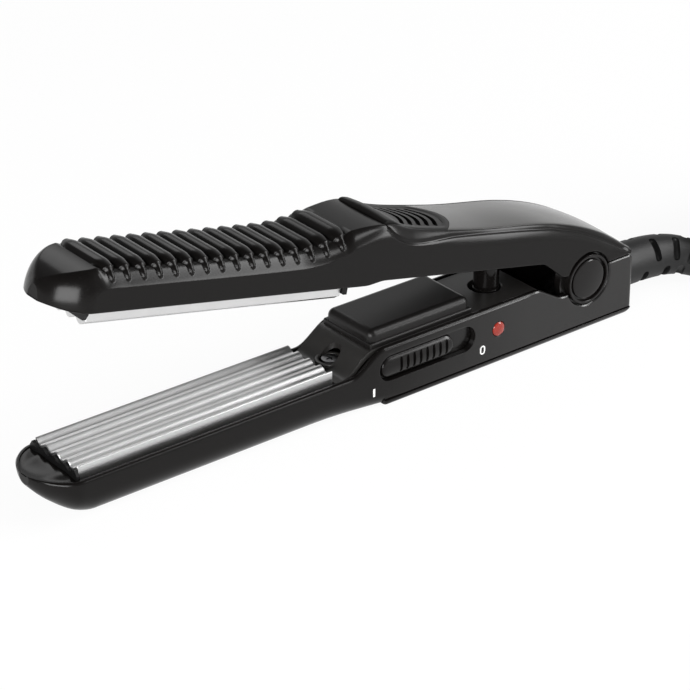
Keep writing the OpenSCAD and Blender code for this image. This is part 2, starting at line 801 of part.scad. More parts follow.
module strain_relief() {
    route = [for (k = [0:boot_rings]) bend(k / boot_rings)];
    color([0.13, 0.13, 0.13]) {
        difference() {
            skin([for (k = [0:boot_rings])
                hoop(route[k], k == 0 ? [1, 0, 0] : route_heading(route, k),
                    mix(boot_d, boot_tip_d, pow(k / boot_rings, 2)) / 2, boot_sides)]);
            for (k = [0:boot_slots - 1])
                let (t = mix(boot_collar, 1, k / boot_slots), d = bend(t + 0.01) - bend(t - 0.01),
                    turn = k % 2 == 0 ? 45 : -45)
                translate(bend(t)) rotate([0, 0, atan2(d[1], d[0])]) rotate([turn, 0, 0])
                    for (s = [-1, 1]) translate([0, s * boot_d / 2, 0]) cube(boot_slot, center = true);
        }
        at_hinge() {
            lead_bore(boot_bore - 0.1, rear_block - 0.1, tail_reach + 0.1);
            lead_bore(boot_flange_d, rear_block - boot_flange_t, rear_block);
        }
    }
}

module cord_tube() {
    color([0.10, 0.10, 0.10]) {
        tube_along(lead_route, cord_d / 2, cord_sides);
        tube_along(tail_route, cord_d / 2, cord_sides);
    }
}

module cord_coil() {
    color([0.10, 0.10, 0.10]) translate([hank_at[0] + hank_run / 2, hank_at[1], tie_t])
        linear_extrude(hank_h) difference() {
            stadium(hank_run + hank_w, hank_w);
            stadium(hank_run + hank_hole, hank_hole);
        }
}

module coil_tie() {
    mid = hank_at[0] + hank_run / 2;
    inner_w = hank_w + 2 * tie_gap;
    color([0.06, 0.06, 0.06]) translate([0, hank_at[1], tie_t + hank_h / 2])
        along(mid - tie_w / 2, mid + tie_w / 2) difference() {
            round_rect(inner_w + 2 * tie_t, hank_h + 2 * tie_t, tie_t);
            square([inner_w, hank_h], center = true);
        }
}

module plug_body() {
    back = plug_boot_len;
    front = plug_boot_len + plug_len;
    color([0.11, 0.11, 0.11]) translate(plug_at) rotate([0, 0, -90]) {
        rotate([-90, 0, 0]) cylinder(d1 = cord_d + 1.5, d2 = plug_boot_d, h = plug_boot_len + 0.1);
        intersection() {
            translate([0, 0, -plug_t / 2]) linear_extrude(plug_t)
                polygon([[-plug_boot_d / 2 - 2, back], [plug_boot_d / 2 + 2, back],
                    [plug_w / 2, back + plug_taper], [plug_w / 2, front - plug_taper],
                    [plug_nose_w / 2, front], [-plug_nose_w / 2, front],
                    [-plug_w / 2, front - plug_taper], [-plug_w / 2, back + plug_taper]]);
            translate([0, front, 0]) rotate([90, 0, 0]) linear_extrude(plug_len)
                round_rect(plug_w, plug_t, plug_round);
        }
    }
}

module plug_pins() {
    front = plug_boot_len + plug_len;
    color([0.78, 0.76, 0.70]) translate(plug_at) rotate([0, 0, -90]) for (s = [-1, 1])
        translate([s * plug_pin_gap / 2, front, 0]) rotate([-90, 0, 0]) {
            cylinder(d = plug_pin_d, h = plug_pin_len - 2);
            translate([0, 0, plug_pin_len - 2]) cylinder(d1 = plug_pin_d, d2 = plug_pin_d - 1.6, h = 2);
        }
}

// Upper arm

module upper_body() {
    skin([for (x = upper_places) upper_section(x)]);
}

// Strip that follows the roof between two places, with its upper side lifted by a lip at the front
module roof_strip(from, to, half, lip) {
    places = concat([from], [for (x = roof_places) if (x > from + 0.3 && x < to - 0.3) x], [to]);
    n = len(places);
    lip_end = thumb_front + lip_run;
    across(-half, half)
        polygon(concat(
            [for (x = places) [x, crown(x) + lip * (1 - ease(span(x, thumb_front, lip_end)))]],
            [for (k = [n - 1:-1:0]) [places[k], crown(places[k]) - panel_t]]));
}

module upper_hollow() {
    places = concat([hollow_front],
        [for (p = crown_line) if (p[0] > hollow_front && p[0] < roof_places[0]) p[0]],
        [for (x = roof_places) if (x < hollow_back) x], [hollow_back]);
    low = -jaw_edge;
    across(-inner_half, inner_half)
        polygon(concat([[hollow_front, low]], [for (x = places) [x, crown(x) - roof_t]],
            [[hollow_back, low]]));
}

module upper_shell() {
    color([0.09, 0.09, 0.09]) swung() difference() {
        union() {
            difference() {
                upper_body();
                upper_hollow();
                roof_strip(thumb_front - fit_gap, strip_back, panel_half + fit_gap, 0);
                both_sides() cross_bar(2 * recess_r, inner_half - over, half_arm + over);
            }
            both_sides() across(ear_in, ear_out) {
                circle(ear_r);
                polygon([[-ear_r, 0], [ear_r, 0], [ear_r, crown(ear_r) - panel_t - ear_skin],
                    [-ear_r, crown(-ear_r) - panel_t - ear_skin]]);
            }
            for (x = liner_screws_x)
                upright(x, liner_boss_d, liner_z + liner_t, crown(x) - roof_t + 0.8);
        }
        both_sides() cross_bar(pin_d + 2 * pin_run, ear_in - over, ear_out + over);
        for (x = liner_screws_x) upright(x, shank_d, liner_z, crown(x) - roof_t - 0.6);
    }
}

// Line across the roof that bows to the back in the middle
function bowed(x, half) =
    [for (k = [-pad_steps:pad_steps])
        let (y = half * k / pad_steps) [x - pad_bulge * pow(y / panel_half, 2), y]];

// Room of the thumb rest in plan, with its rounded rear end
module pad_plan(gap) {
    wide = panel_half + over;
    linear_extrude(hump_crown + 2 * lip_h)
        polygon(concat([[thumb_front - over, wide], [thumb_front - over, -wide]],
            bowed(thumb_back + gap, wide)));
}

module pad_slot(x) {
    rear = bowed(x + slot_w / 2, slot_half);
    front = bowed(x - slot_w / 2, slot_half);
    n = len(front);
    translate([0, 0, crown(x) - slot_depth]) linear_extrude(2 + slot_depth)
        polygon(concat(rear, [for (k = [n - 1:-1:0]) front[k]]));
}

module thumb_pad() {
    color([0.12, 0.12, 0.12]) swung() difference() {
        intersection() {
            roof_strip(thumb_front, thumb_back, panel_half, lip_h);
            pad_plan(0);
        }
        for (k = [0:thumb_slots - 1]) pad_slot(thumb_back - slot_inset - slot_pitch * k);
    }
}

module top_panel() {
    color([0.22, 0.22, 0.22]) swung() difference() {
        roof_strip(thumb_back - pad_bulge - over, strip_back - fit_gap, panel_half, 0);
        pad_plan(fit_gap);
    }
}

module upper_plate() {
    half = plate_w / 2;
    top = upper_seat + upper_flange;
    color([0.76, 0.76, 0.77]) swung() along(jaw_front, jaw_back)
        polygon(concat(wave_points(half, upper_rise),
            [[half, top], [half - flange_w, top], [half - flange_w, upper_seat],
                [flange_w - half, upper_seat], [flange_w - half, top], [-half, top]]));
}

module upper_heater() {
    color([0.85, 0.84, 0.80]) swung()
        box([jaw_front + heater_inset, -heater_half, upper_seat],
            [jaw_back - heater_inset, heater_half, upper_seat + heater_t]);
}

module upper_carrier() {
    seat = upper_seat + upper_flange;
    color([0.30, 0.24, 0.18]) swung() difference() {
        union() {
            box([jaw_front + plate_end_gap, -deck_half, seat], [jaw_back, deck_half, carrier_top]);
            box([jaw_front + plate_end_gap, -heater_half, upper_seat + heater_t],
                [jaw_back - carrier_end_gap, heater_half, seat + 0.1]);
            box([jaw_back + plate_end_gap, -deck_half, jaw_edge - tab_drop],
                [jaw_back + tab_back, deck_half, carrier_top]);
            box([jaw_back - 0.1, -deck_half, seat + 1], [jaw_back + 1, deck_half, carrier_top]);
        }
        box([jaw_front + heater_inset, -heater_half + 3, upper_seat + heater_t + 2],
            [jaw_back - heater_inset, heater_half - 3, carrier_top + over]);
    }
}

module upper_retainer() {
    low = trough_z + ridge_h + upper_rise + retainer_step;
    side = jaw_edge - 1;
    top = carrier_top - 2;
    color([0.05, 0.05, 0.05]) swung()
        along(hollow_front + plate_end_gap / 2, jaw_front - plate_end_gap / 2)
            polygon([[-plate_w / 2, low], [plate_w / 2, low], [deck_half, side], [deck_half, top],
                [-deck_half, top], [-deck_half, side]]);
}

module upper_liner() {
    color([0.10, 0.10, 0.10]) swung() difference() {
        box([liner_front, -deck_half, liner_z], [liner_back, deck_half, liner_z + liner_t]);
        for (x = liner_screws_x) upright(x, shank_d + 0.4, liner_z - over, liner_z + liner_t + over);
    }
}

module liner_screws() {
    color([0.55, 0.55, 0.57]) swung() for (x = liner_screws_x) {
        difference() {
            upright(x, head_d, liner_z - head_h, liner_z);
            cross_slot([x, 0, liner_z - head_h]);
        }
        upright(x, shank_d - 0.02, liner_z - 0.1, liner_z + liner_t + 4);
    }
}

module spring_tube() {
    color([0.13, 0.13, 0.13]) intersection() {
        at_hinge() difference() {
            upright(-spring_at, tube_d, tube_foot, spring_at);
            upright(-spring_at, tube_d - 2 * tube_wall, tube_foot - over, spring_at + over);
        }
        swung() box([-2 * spring_at, -tube_d, -tube_d - spring_at], [0, tube_d, liner_z]);
    }
}

lower_shell();
bottom_cover();
bottom_screws();
lower_plate();
lower_heater();
lower_carrier();
lower_retainer();
inner_cover();
cover_screw();
stop_block();
switch_body();
switch_knob();
indicator_lens();
indicator_lamp();
hinge_pin();
hinge_caps();
spring_post();
return_spring();
strain_relief();
upper_shell();
thumb_pad();
top_panel();
upper_plate();
upper_heater();
upper_carrier();
upper_retainer();
upper_liner();
liner_screws();
spring_tube();
cord_tube();
cord_coil();
coil_tie();
plug_body();
plug_pins();
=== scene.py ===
import math

import bpy
from mathutils import Matrix, Quaternion, Vector


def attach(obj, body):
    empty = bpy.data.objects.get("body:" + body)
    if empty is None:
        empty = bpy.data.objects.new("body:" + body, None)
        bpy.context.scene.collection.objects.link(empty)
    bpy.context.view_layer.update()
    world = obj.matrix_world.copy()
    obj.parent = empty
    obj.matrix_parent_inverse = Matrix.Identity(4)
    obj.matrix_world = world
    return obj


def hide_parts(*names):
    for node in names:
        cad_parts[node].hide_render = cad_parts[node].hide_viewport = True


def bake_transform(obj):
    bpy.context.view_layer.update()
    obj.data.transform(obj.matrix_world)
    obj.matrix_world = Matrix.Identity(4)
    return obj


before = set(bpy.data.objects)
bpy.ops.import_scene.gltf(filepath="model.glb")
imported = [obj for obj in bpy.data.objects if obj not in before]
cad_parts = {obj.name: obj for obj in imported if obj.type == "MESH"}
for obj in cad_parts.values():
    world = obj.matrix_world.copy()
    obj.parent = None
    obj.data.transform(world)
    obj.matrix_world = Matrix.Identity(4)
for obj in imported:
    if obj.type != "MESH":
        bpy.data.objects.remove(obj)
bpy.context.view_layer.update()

scene = bpy.context.scene

# Studio: a pale table top in a white room, lit by wide soft boxes.
# The camera stands in front of the nose on the switch side and looks down a little.
MM = 0.001
look_down, look_right = 27.7, 38.5
lamp_distance = 1.2
scene.view_settings.view_transform = "Standard"

camera_data = bpy.data.cameras.new("camera")
camera_data.sensor_width = 36
camera_data.lens = 148.64
camera = bpy.data.objects.new("camera", camera_data)
camera.location = (-0.49614, -0.63045, 0.44047)
camera.rotation_euler = (math.radians(90 - look_down), 0, math.radians(-look_right))
scene.collection.objects.link(camera)
scene.camera = camera


def set_mode(mode):
    """Edit mode or object mode."""
    bpy.ops.object.mode_set(mode=mode)


def clear_selection():
    """Back to object mode with nothing selected."""
    if bpy.context.object and bpy.context.object.mode != "OBJECT":
        set_mode("OBJECT")
    bpy.ops.object.select_all(action="DESELECT")


def select_only(piece):
    """One piece selected and active."""
    clear_selection()
    piece.select_set(True)
    bpy.context.view_layer.objects.active = piece


def node_tools(tree):
    """Ways to add nodes, to calculate and to link in an emptied node tree."""
    tree.nodes.clear()
    link = tree.links.new

    def feed(socket, value):
        """A socket set to a plain value, or linked to another node's output."""
        if isinstance(value, bpy.types.NodeSocket):
            link(value, socket)
        else:
            socket.default_value = value

    def add(kind, settings=(), **values):
        """A new shader node. In the names of its inputs an underscore stands for a blank."""
        node = tree.nodes.new("ShaderNode" + kind)
        for name, value in settings:
            setattr(node, name, value)
        for name, value in values.items():
            feed(node.inputs[name.replace("_", " ")], value)
        return node

    def calculate(operation, *terms):
        """Result of a math node on numbers and on the outputs of other nodes."""
        node = add("Math", [("operation", operation)])
        for socket, term in zip(node.inputs, terms):
            feed(socket, term)
        return node.outputs[0]

    return add, calculate, link


def new_material(name):
    """A node material and the tools for its nodes."""
    made = bpy.data.materials.new(name)
    made.use_nodes = True
    return made, *node_tools(made.node_tree)


clear_selection()
bpy.ops.mesh.primitive_plane_add(size=6)
table = bpy.context.object
table.name = "table_top"
table_finish, add, calculate, link = new_material("pale_table")
table_lit = add("BsdfDiffuse", Color=(0.9, 0.9, 0.9, 1))
table_white = add("Emission", Strength=1.0)
ray = add("LightPath").outputs
mirrored = calculate("MAXIMUM", ray["Is Glossy Ray"], ray["Is Transmission Ray"])
seen_white = calculate("MULTIPLY", ray["Is Camera Ray"], 0.93)
mirrored_white = calculate("MULTIPLY", mirrored, 0.6)
table_mix = add("MixShader", Fac=calculate("MAXIMUM", seen_white, mirrored_white))
link(table_lit.outputs[0], table_mix.inputs[1])
link(table_white.outputs[0], table_mix.inputs[2])
add("OutputMaterial", Surface=table_mix.outputs[0])
table.data.materials.append(table_finish)

world = bpy.data.worlds.new("white_room")
scene.world = world
world.use_nodes = True
add, calculate, link = node_tools(world.node_tree)
room = add("SeparateXYZ", Vector=add("TexCoord").outputs["Generated"]).outputs
room_tone = add("ValToRGB", Fac=room["Z"])
for stop, height, tone in zip(room_tone.color_ramp.elements, (0.58, 0.9), (1, 0.2)):
    stop.position = height
    stop.color = (tone, tone, tone, 1)
room_share = add("MapRange", Value=room["X"], From_Min=-0.4, From_Max=0.5, To_Min=0.2, To_Max=0.62)
room_level = add("MapRange", Value=room["Z"], From_Min=0.08, From_Max=0.3)
room_strength = add("Mix", A=1.0, B=room_share.outputs["Result"], Factor=room_level.outputs["Result"])
room_light = add("Background", Color=room_tone.outputs["Color"], Strength=room_strength.outputs["Result"])
add("OutputWorld", Surface=room_light.outputs[0])


def soft_box(name, direction, width, height, glow, roll=0):
    """An area lamp that faces the object, as bright all over as a surface of that glow."""
    lamp = bpy.data.lights.new(name, "AREA")
    lamp.shape = "RECTANGLE"
    lamp.size = width
    lamp.size_y = height
    lamp.energy = glow * math.pi * width * height
    holder = bpy.data.objects.new(name, lamp)
    towards = Vector(direction).normalized()
    facing = towards.to_track_quat("Z", "Y") @ Quaternion((0, 0, 1), math.radians(roll))
    holder.location = towards * lamp_distance
    holder.rotation_euler = facing.to_euler()
    scene.collection.objects.link(holder)


soft_box("key_right", (0.75, -0.47, 0.45), 1.1, 0.28, 13.0, roll=42)
soft_box("rim_right", (0.5, -0.5, 0.7), 0.3, 0.2, 10.0)
soft_box("back_top", (0.28, 0.73, 0.62), 0.4, 0.32, 1.8)
soft_box("fill_front", (-0.80, -0.46, 0.34), 0.9, 0.52, 13.0)

# Mains lead: a round black flexible cord of two cores, about 1.7 m long. It leaves the strain
# relief and is folded into a tied hank past the right of the view, in line with the handle.
lead_d = 6
lead_points = [
    (155, -12, 6), (157.5, -16.4, 4.9), (160.5, -20, 4.1), (164.5, -23.3, 3.5), (169, -26, 3.2),
    (174, -28, 3.1), (179.5, -29.2, 3.2), (185, -29.6, 3.5),
]
tail_points = [
    (241.7, -35, 3.3), (246.6, -33.4, 3.6), (252.5, -30.6, 4.3), (258.4, -27.9, 5.3),
    (263.4, -26.2, 6.2), (268.5, -25.6, 6.9), (272, -25.6, 7),
]
hank_x, hank_y, hank_run = 188.5, -11.6, 48
inner_fold, outer_fold = 18, 24
inner_laps, all_laps, step_out = 4, 7, 0.15
lap_rise, first_z, top_z, last_z, tail_z = 6, 3.8, 27.8, 9.8, 3.3
points_per_lap, points_last_run = 28, 6


def mix(a, b, t):
    """The value a share t of the way from a to b."""
    return a + (b - a) * t


def span(x, a, b):
    """How far x is from a to b, held between 0 and 1."""
    return max(0, min(1, (x - a) / (b - a)))


def ease(t):
    """A smooth rise from 0 to 1."""
    t = max(0, min(1, t))
    return t * t * (3 - 2 * t)


def hank_point(laps):
    """Where the lead is after that many laps: four laps upwards inside, then three down outside."""
    fold = mix(inner_fold, outer_fold, ease((laps - inner_laps) / step_out))
    arc = math.pi * fold
    lap_length = 2 * (hank_run + arc)
    height = first_z + lap_rise * min(laps, inner_laps)
    if laps > inner_laps + step_out:
        height = mix(top_z, last_z, span(laps, inner_laps + step_out, all_laps))
    if laps > all_laps:
        height = mix(last_z, tail_z, ease((laps - all_laps) * lap_length / hank_run))
    gone = (laps % 1) * lap_length
    if gone < hank_run:
        return (hank_x + gone, hank_y - fold, height)
    if gone < hank_run + arc:
        turn = (gone - hank_run) / fold - math.pi / 2
        return (hank_x + hank_run + fold * math.cos(turn), hank_y + fold * math.sin(turn), height)
    if gone < 2 * hank_run + arc:
        return (hank_x + 2 * hank_run + arc - gone, hank_y + fold, height)
    turn = (gone - 2 * hank_run - arc) / fold + math.pi / 2
    return (hank_x + fold * math.cos(turn), hank_y + fold * math.sin(turn), height)


last_run = hank_run / (2 * hank_run + 2 * math.pi * outer_fold)
lap_places = [k / points_per_lap for k in range(all_laps * points_per_lap + 1)]
lap_places += [all_laps + last_run * k / points_last_run for k in range(1, points_last_run + 1)]
lead_route = lead_points + [hank_point(k) for k in lap_places] + tail_points
lead_curve = bpy.data.curves.new("mains_lead", "CURVE")
lead_curve.dimensions = "3D"
lead_curve.bevel_depth = lead_d / 2 * MM
lead_curve.bevel_resolution = 5
lead_curve.resolution_u = 4
lead_curve.use_fill_caps = True
lead_line = lead_curve.splines.new("BEZIER")
lead_line.bezier_points.add(len(lead_route) - 1)
for knot, place in zip(lead_line.bezier_points, lead_route):
    knot.co = Vector(place) * MM
    knot.handle_left_type = "AUTO"
    knot.handle_right_type = "AUTO"
lead = bpy.data.objects.new("mains_lead", lead_curve)
scene.collection.objects.link(lead)


def mould_texture():
    """Node group: the fine grain, slow unevenness and pale flecks that a mould leaves on plastic."""
    group = bpy.data.node_groups.new("mould_texture", "ShaderNodeTree")
    for name, value in (("Grain Scale", 900.0), ("Roughness", 0.3), ("Spread", 0.08)):
        socket = group.interface.new_socket(name, in_out="INPUT", socket_type="NodeSocketFloat")
        socket.default_value = value
    for name in ("Roughness", "Height", "Dust"):
        group.interface.new_socket(name, in_out="OUTPUT", socket_type="NodeSocketFloat")
    add, calculate, link = node_tools(group)
    given = group.nodes.new("NodeGroupInput").outputs
    place = add("TexCoord").outputs["Object"]
    slow = add("TexNoise", Vector=place, Scale=45, Detail=4)
    fine = add("TexNoise", Vector=place, Scale=given["Grain Scale"], Detail=2)
    centred = calculate("SUBTRACT", slow.outputs["Fac"], 0.5)
    uneven = calculate("MULTIPLY_ADD", centred, given["Spread"], given["Roughness"])
    flecks = add("ValToRGB", Fac=fine.outputs["Fac"])
    flecks.color_ramp.elements[0].position = 0.62
    flecks.color_ramp.elements[1].position = 0.80
    result = group.nodes.new("NodeGroupOutput")
    link(uneven, result.inputs["Roughness"])
    link(fine.outputs["Fac"], result.inputs["Height"])
    link(flecks.outputs["Color"], result.inputs["Dust"])
    return group


mould_group = mould_texture()


def surfaced(add, link, skin, tones, share, height, strength, depth):
    """Two colours mixed by a share, a relief from a height, and the material's output."""
    tint = add("Mix", [("data_type", "RGBA")], A=(*tones[0], 1), B=(*tones[1], 1), Factor=share)
    bump = add("Bump", Strength=strength, Distance=depth, Height=height)
    link(tint.outputs["Result"], skin.inputs["Base Color"])
    link(bump.outputs["Normal"], skin.inputs["Normal"])
    add("OutputMaterial", Surface=skin.outputs[0])


def moulded(name, colour, pale, roughness, spread=0.08, grain=900.0, relief=0.04, gloss=0.5, dust=0.06,
            polish=None):
    """Moulded plastic or rubber: one colour with a faint paler bloom, uneven gloss and fine grain. A
    polish from handling can set in along the piece: where it starts, where it is full, and its share."""
    made, add, calculate, link = new_material(name)
    texture = add("Group", [("node_tree", mould_group)], Grain_Scale=grain, Roughness=roughness,
                  Spread=spread)
    skin = add("BsdfPrincipled", Specular_IOR_Level=gloss, Roughness=texture.outputs["Roughness"])
    flecked = calculate("MULTIPLY", texture.outputs["Dust"], dust)
    surfaced(add, link, skin, (colour, pale), flecked, texture.outputs["Height"], relief, 0.2 * MM)
    if polish:
        start, full, most = polish
        along = add("SeparateXYZ", Vector=add("TexCoord").outputs["Object"]).outputs["X"]
        handled = add("MapRange", Value=along, From_Min=start * MM, From_Max=full * MM, To_Max=most)
        link(handled.outputs["Result"], skin.inputs["Coat Weight"])
        skin.inputs["Coat Roughness"].default_value = 0.25
    return made


bloom = (0.03, 0.03, 0.03)
lead_black, lead_bloom = (0.012, 0.012, 0.012), (0.05, 0.05, 0.05)
lead_jacket = moulded("lead_jacket", lead_black, lead_bloom, 0.5, relief=0.1)
lead.data.materials.append(lead_jacket)
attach(lead, "lower_arm")
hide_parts("cord_tube", "cord_coil")

# Lower shell: the long moulded trough that rests on the table, in black heat-proof plastic. One
# injection-moulded piece: dished nose, thin side walls, switch recess, hinge notch and rear case.
hinge = Vector((97.25, 0, 18.5))
half_arm, wall = 15, 2
jaw_front, jaw_back, nose_len, reach = -202, -106, 12, 214
hollow_front, rear_block, tail_reach = -203.3, 9.5, 20.5
cover_front, part_z, table_z = -87.5, -16, -18.5
ramp_front, ramp_back, notch_front = -101, -87, -25
jaw_rim, handle_rim, floor_z, notch_z, tail_rim = -4.5, 2.5, -15, -3.2, 3.3
round_end, square_from, jaw_r, handle_r = -114, -64, 8.3, 1.2
nose_power, keel_power, keel_front, keel_len = 1.7, 1.5, -197, 18
plan_r, rim_r, keel_r = 1.5, 2.2, 3
jaw_soft, handle_soft, notch_soft = 1.3, 1.5, 0.9
slot_x, slot_z, slot_len, slot_h = -69.65, -5.3, 39.7, 9
lens_x, lens_z = -39.7, -5.9
jog = 0.01


def on_line(x, line):
    """Height of a bent line at x, with straight runs between its corners."""
    for (x0, z0), (x1, z1) in zip(line, line[1:]):
        if x <= x1:
            return mix(z0, z1, span(x, x0, x1))
    return line[-1][1]


def softened(x, line, reach_out):
    """Height of a bent line at x with its corners rounded off."""
    steps = 8
    return sum(on_line(x + reach_out * (2 * k / steps - 1), line) for k in range(steps + 1)) / (steps + 1)


def round_front(t, power):
    """Share of the full size at a rounded front end, from 1 at t = 0 to 0 at t = 1."""
    return max(0, 1 - t ** power) ** (1 / power)


def round_rear(x, r):
    """How far a rear edge with radius r falls away at x."""
    return r - math.sqrt(max(0, r ** 2 - max(0, x - tail_reach + r) ** 2))


def half_width(x):
    """Half the width of both arms in plan: a round nose, straight sides and small rear corners."""
    if x < jaw_front:
        return half_arm * round_front((jaw_front - x) / nose_len, nose_power)
    return half_arm - round_rear(x, plan_r)


def rim(x):
    """Top edge of the lower arm: low along the jaw, up the ramp, down into the hinge notch."""
    if x < notch_front:
        return mix(jaw_rim, handle_rim, ease(span(x, ramp_front, ramp_back)))
    notch = [(-40, handle_rim), (-22, handle_rim), (-12.4, notch_z), (0, notch_z)]
    notch += [(9, tail_rim), (40, tail_rim)]
    return softened(x, notch, 1.6) - round_rear(x, rim_r)


def keel(x):
    """Underside of the lower arm: flat on the table, curved up at the nose and at the back."""
    if x < keel_front:
        return mix(jaw_rim, table_z, round_front((keel_front - x) / keel_len, keel_power))
    return table_z + round_rear(x, keel_r)


def belly(x):
    """Radius of the lower corners: full along the jaw, small along the handle."""
    return mix(jaw_r, handle_r, ease(span(x, round_end, square_from)))


def quarter(steps):
    """The angles of a quarter turn in even steps."""
    return [math.pi / 2 * k / steps for k in range(steps + 1)]


def edge_round(t):
    """Share of a quarter-round edge still to rise, from 1 at t = 0 to 0 at t = 1."""
    return 1 - math.sqrt(1 - (1 - t) ** 2)


def lower_corner(x, top):
    """Lower corner of the arm from the flat underside to the side wall, as (y, z) points."""
    w, low = half_width(x), keel(x)
    r = min(belly(x), 0.9 * w, 0.9 * (top - low))
    return [(w - r + r * math.sin(a), low + r - r * math.cos(a)) for a in quarter(10)]


def both_sides(row):
    """A whole ring from one half of it, given from middle to middle."""
    return row + [(x, -y, z) for x, y, z in reversed(row)]


def closed_ring(x, half):
    """A whole cross-section at x from one half of it."""
    return both_sides([(x, y, z) for y, z in half])


def lower_ring(x, floor, covered):
    """Cross-section of the lower shell: round corner, side, soft rim, inner wall and floor."""
    w, top = half_width(x), rim(x)
    corner = lower_corner(x, top)
    if covered:
        corner = [(y, max(z, part_z)) for y, z in corner]
        reached = min((y for y, z in corner if z > part_z), default=w)
        corner = [(max(y, reached), z) for y, z in corner]
    low = corner[0][1]
    soft = mix(jaw_soft, handle_soft, ease(span(x, ramp_front, ramp_back)))
    soft = min(soft if x < notch_front else notch_soft, 0.3 * (top - low), 0.3 * w)
    inner = max(w - wall, 0.55 * w)
    lip = min(0.4, 0.4 * (w - inner))
    half = [(0, low), (corner[0][0] / 2, low)] + corner + [(w, mix(corner[-1][1], top - soft, 0.5))]
    half += [(w - soft + soft * math.cos(a), top - soft + soft * math.sin(a)) for a in quarter(5)]
    half += [(inner + lip - lip * math.cos(a), top - lip + lip * math.sin(a)) for a in reversed(quarter(3))]
    if floor is None:
        dish = 0.9 * ease(span(x, -reach, -206)) if x < 0 else 0
        lift = 1.2 * ease(span(x, -212, -204)) if x < 0 else 0
        for k in range(1, 11):
            share = 1 - k / 10
            sink = dish * (1 - share ** 2) - lift * ease((1 - share) / 0.5)
            half.append((inner * share, top - lip - sink))
    else:
        squareness = ease(span(x, round_end, square_from))
        foot_y = mix(9.5, inner, squareness)
        half += [(inner, mix(-9.5, floor, squareness)), (foot_y, floor)]
        half += [(foot_y * (1 - k / 8), floor) for k in range(1, 9)]
    return closed_ring(x, half)


def welded():
    """Doubled points merged, open ends filled, faces turned outwards, and back to object mode."""
    bpy.ops.mesh.select_all(action="SELECT")
    bpy.ops.mesh.remove_doubles(threshold=0.002 * MM)
    bpy.ops.mesh.fill_holes(sides=0)
    bpy.ops.mesh.select_all(action="SELECT")
    bpy.ops.mesh.normals_make_consistent(inside=False)
    set_mode("OBJECT")


def lofted(name, rings, where=Matrix.Identity(4)):
    """A closed skin over rows of points: a grid moved onto the rows, with its two ends filled."""
    clear_selection()
    bpy.ops.mesh.primitive_grid_add(x_subdivisions=len(rings[0]) - 1, y_subdivisions=len(rings) - 1)
    piece = bpy.context.object
    piece.name = name
    places = [value for ring in rings for point in ring for value in (where @ Vector(point)) * MM]
    piece.data.vertices.foreach_set("co", places)
    set_mode("EDIT")
    welded()
    return piece


def turned(name, profile, where, steps=64):
    """A solid of revolution about Z from (radius, height) points, then put in its place."""
    outline = bpy.data.meshes.new(name)
    spots = [(r * MM, 0, h * MM) for r, h in profile]
    outline.from_pydata(spots, [(k, k + 1) for k in range(len(spots) - 1)], [])
    piece = bpy.data.objects.new(name, outline)
    scene.collection.objects.link(piece)
    select_only(piece)
    set_mode("EDIT")
    bpy.ops.mesh.select_all(action="SELECT")
    bpy.ops.mesh.spin(steps=steps, angle=2 * math.pi, center=(0, 0, 0), axis=(0, 0, 1))
    welded()
    move = where.copy()
    move.translation = where.translation * MM
    piece.data.transform(move)
    return piece


def cut(piece, cutter):
    """The cutter's shape taken out of the piece."""
    select_only(piece)
    knife = piece.modifiers.new("cut", "BOOLEAN")
    knife.operation = "DIFFERENCE"
    knife.solver = "EXACT"
    knife.object = cutter
    bpy.ops.object.modifier_apply(modifier=knife.name)
    bpy.data.objects.remove(cutter)


def joined(pieces):
    """Several meshes made one piece, named for the first of them."""
    clear_selection()
    for piece in pieces:
        piece.select_set(True)
    bpy.context.view_layer.objects.active = pieces[0]
    bpy.ops.object.join()
    return pieces[0]


def finished(piece, body, material, nodes, angle=35):
    """Smooth shading, finish, body, material slot and the CAD nodes that the piece stands for. A piece
    given no body is left unattached."""
    select_only(piece)
    bpy.ops.object.shade_smooth_by_angle(angle=math.radians(angle))
    crisp = piece.modifiers.new("crisp", "WEIGHTED_NORMAL")
    crisp.keep_sharp = True
    bpy.ops.object.modifier_apply(modifier=crisp.name)
    piece.data.materials.clear()
    piece.data.materials.append(material)
    if body:
        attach(piece, body)
    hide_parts(*nodes)


def sideways(side, x=0, z=0):
    """Frame on one side of the arm, at the hinge or another place, whose Z axis points outwards."""
    place = Matrix.Translation(hinge + Vector((x, side * half_arm, z)))
    return place @ Matrix.Rotation(side * math.pi / -2, 4, "X")


def upright(x):
    """Frame at a place on the middle line, level with the hinge."""
    return Matrix.Translation(hinge + Vector((x, 0, 0)))


def cut_cap_seats(piece, depth):
    """Seats of the two hinge caps, cut into both sides of a piece, each with a soft lip."""
    seat = [(0, -depth), (9.5, -depth), (9.5, -0.45), (9.8, -0.12), (10.1, 0), (10.1, 2), (0, 2)]
    for side in (-1, 1):
        cut(piece, turned("recess_cutter", seat, sideways(side), 72))


def stadium(length, height, steps=12):
    """Outline of a slot with round ends, as (x, z) points about its middle."""
    r = height / 2
    points = []
    for end, start in ((1, -math.pi / 2), (-1, math.pi / 2)):
        for k in range(steps + 1):
            a = start + math.pi * k / steps
            points.append((end * (length / 2 - r) + r * math.cos(a), r * math.sin(a)))
    return points + points[:1]


def stadium_rings(x, z, rows):
    """Rings of slot outlines on the near side, one for each row of (length, height, y)."""
    return [[(x + px, y, z + pz) for px, pz in stadium(length, height)] for length, height, y in rows]


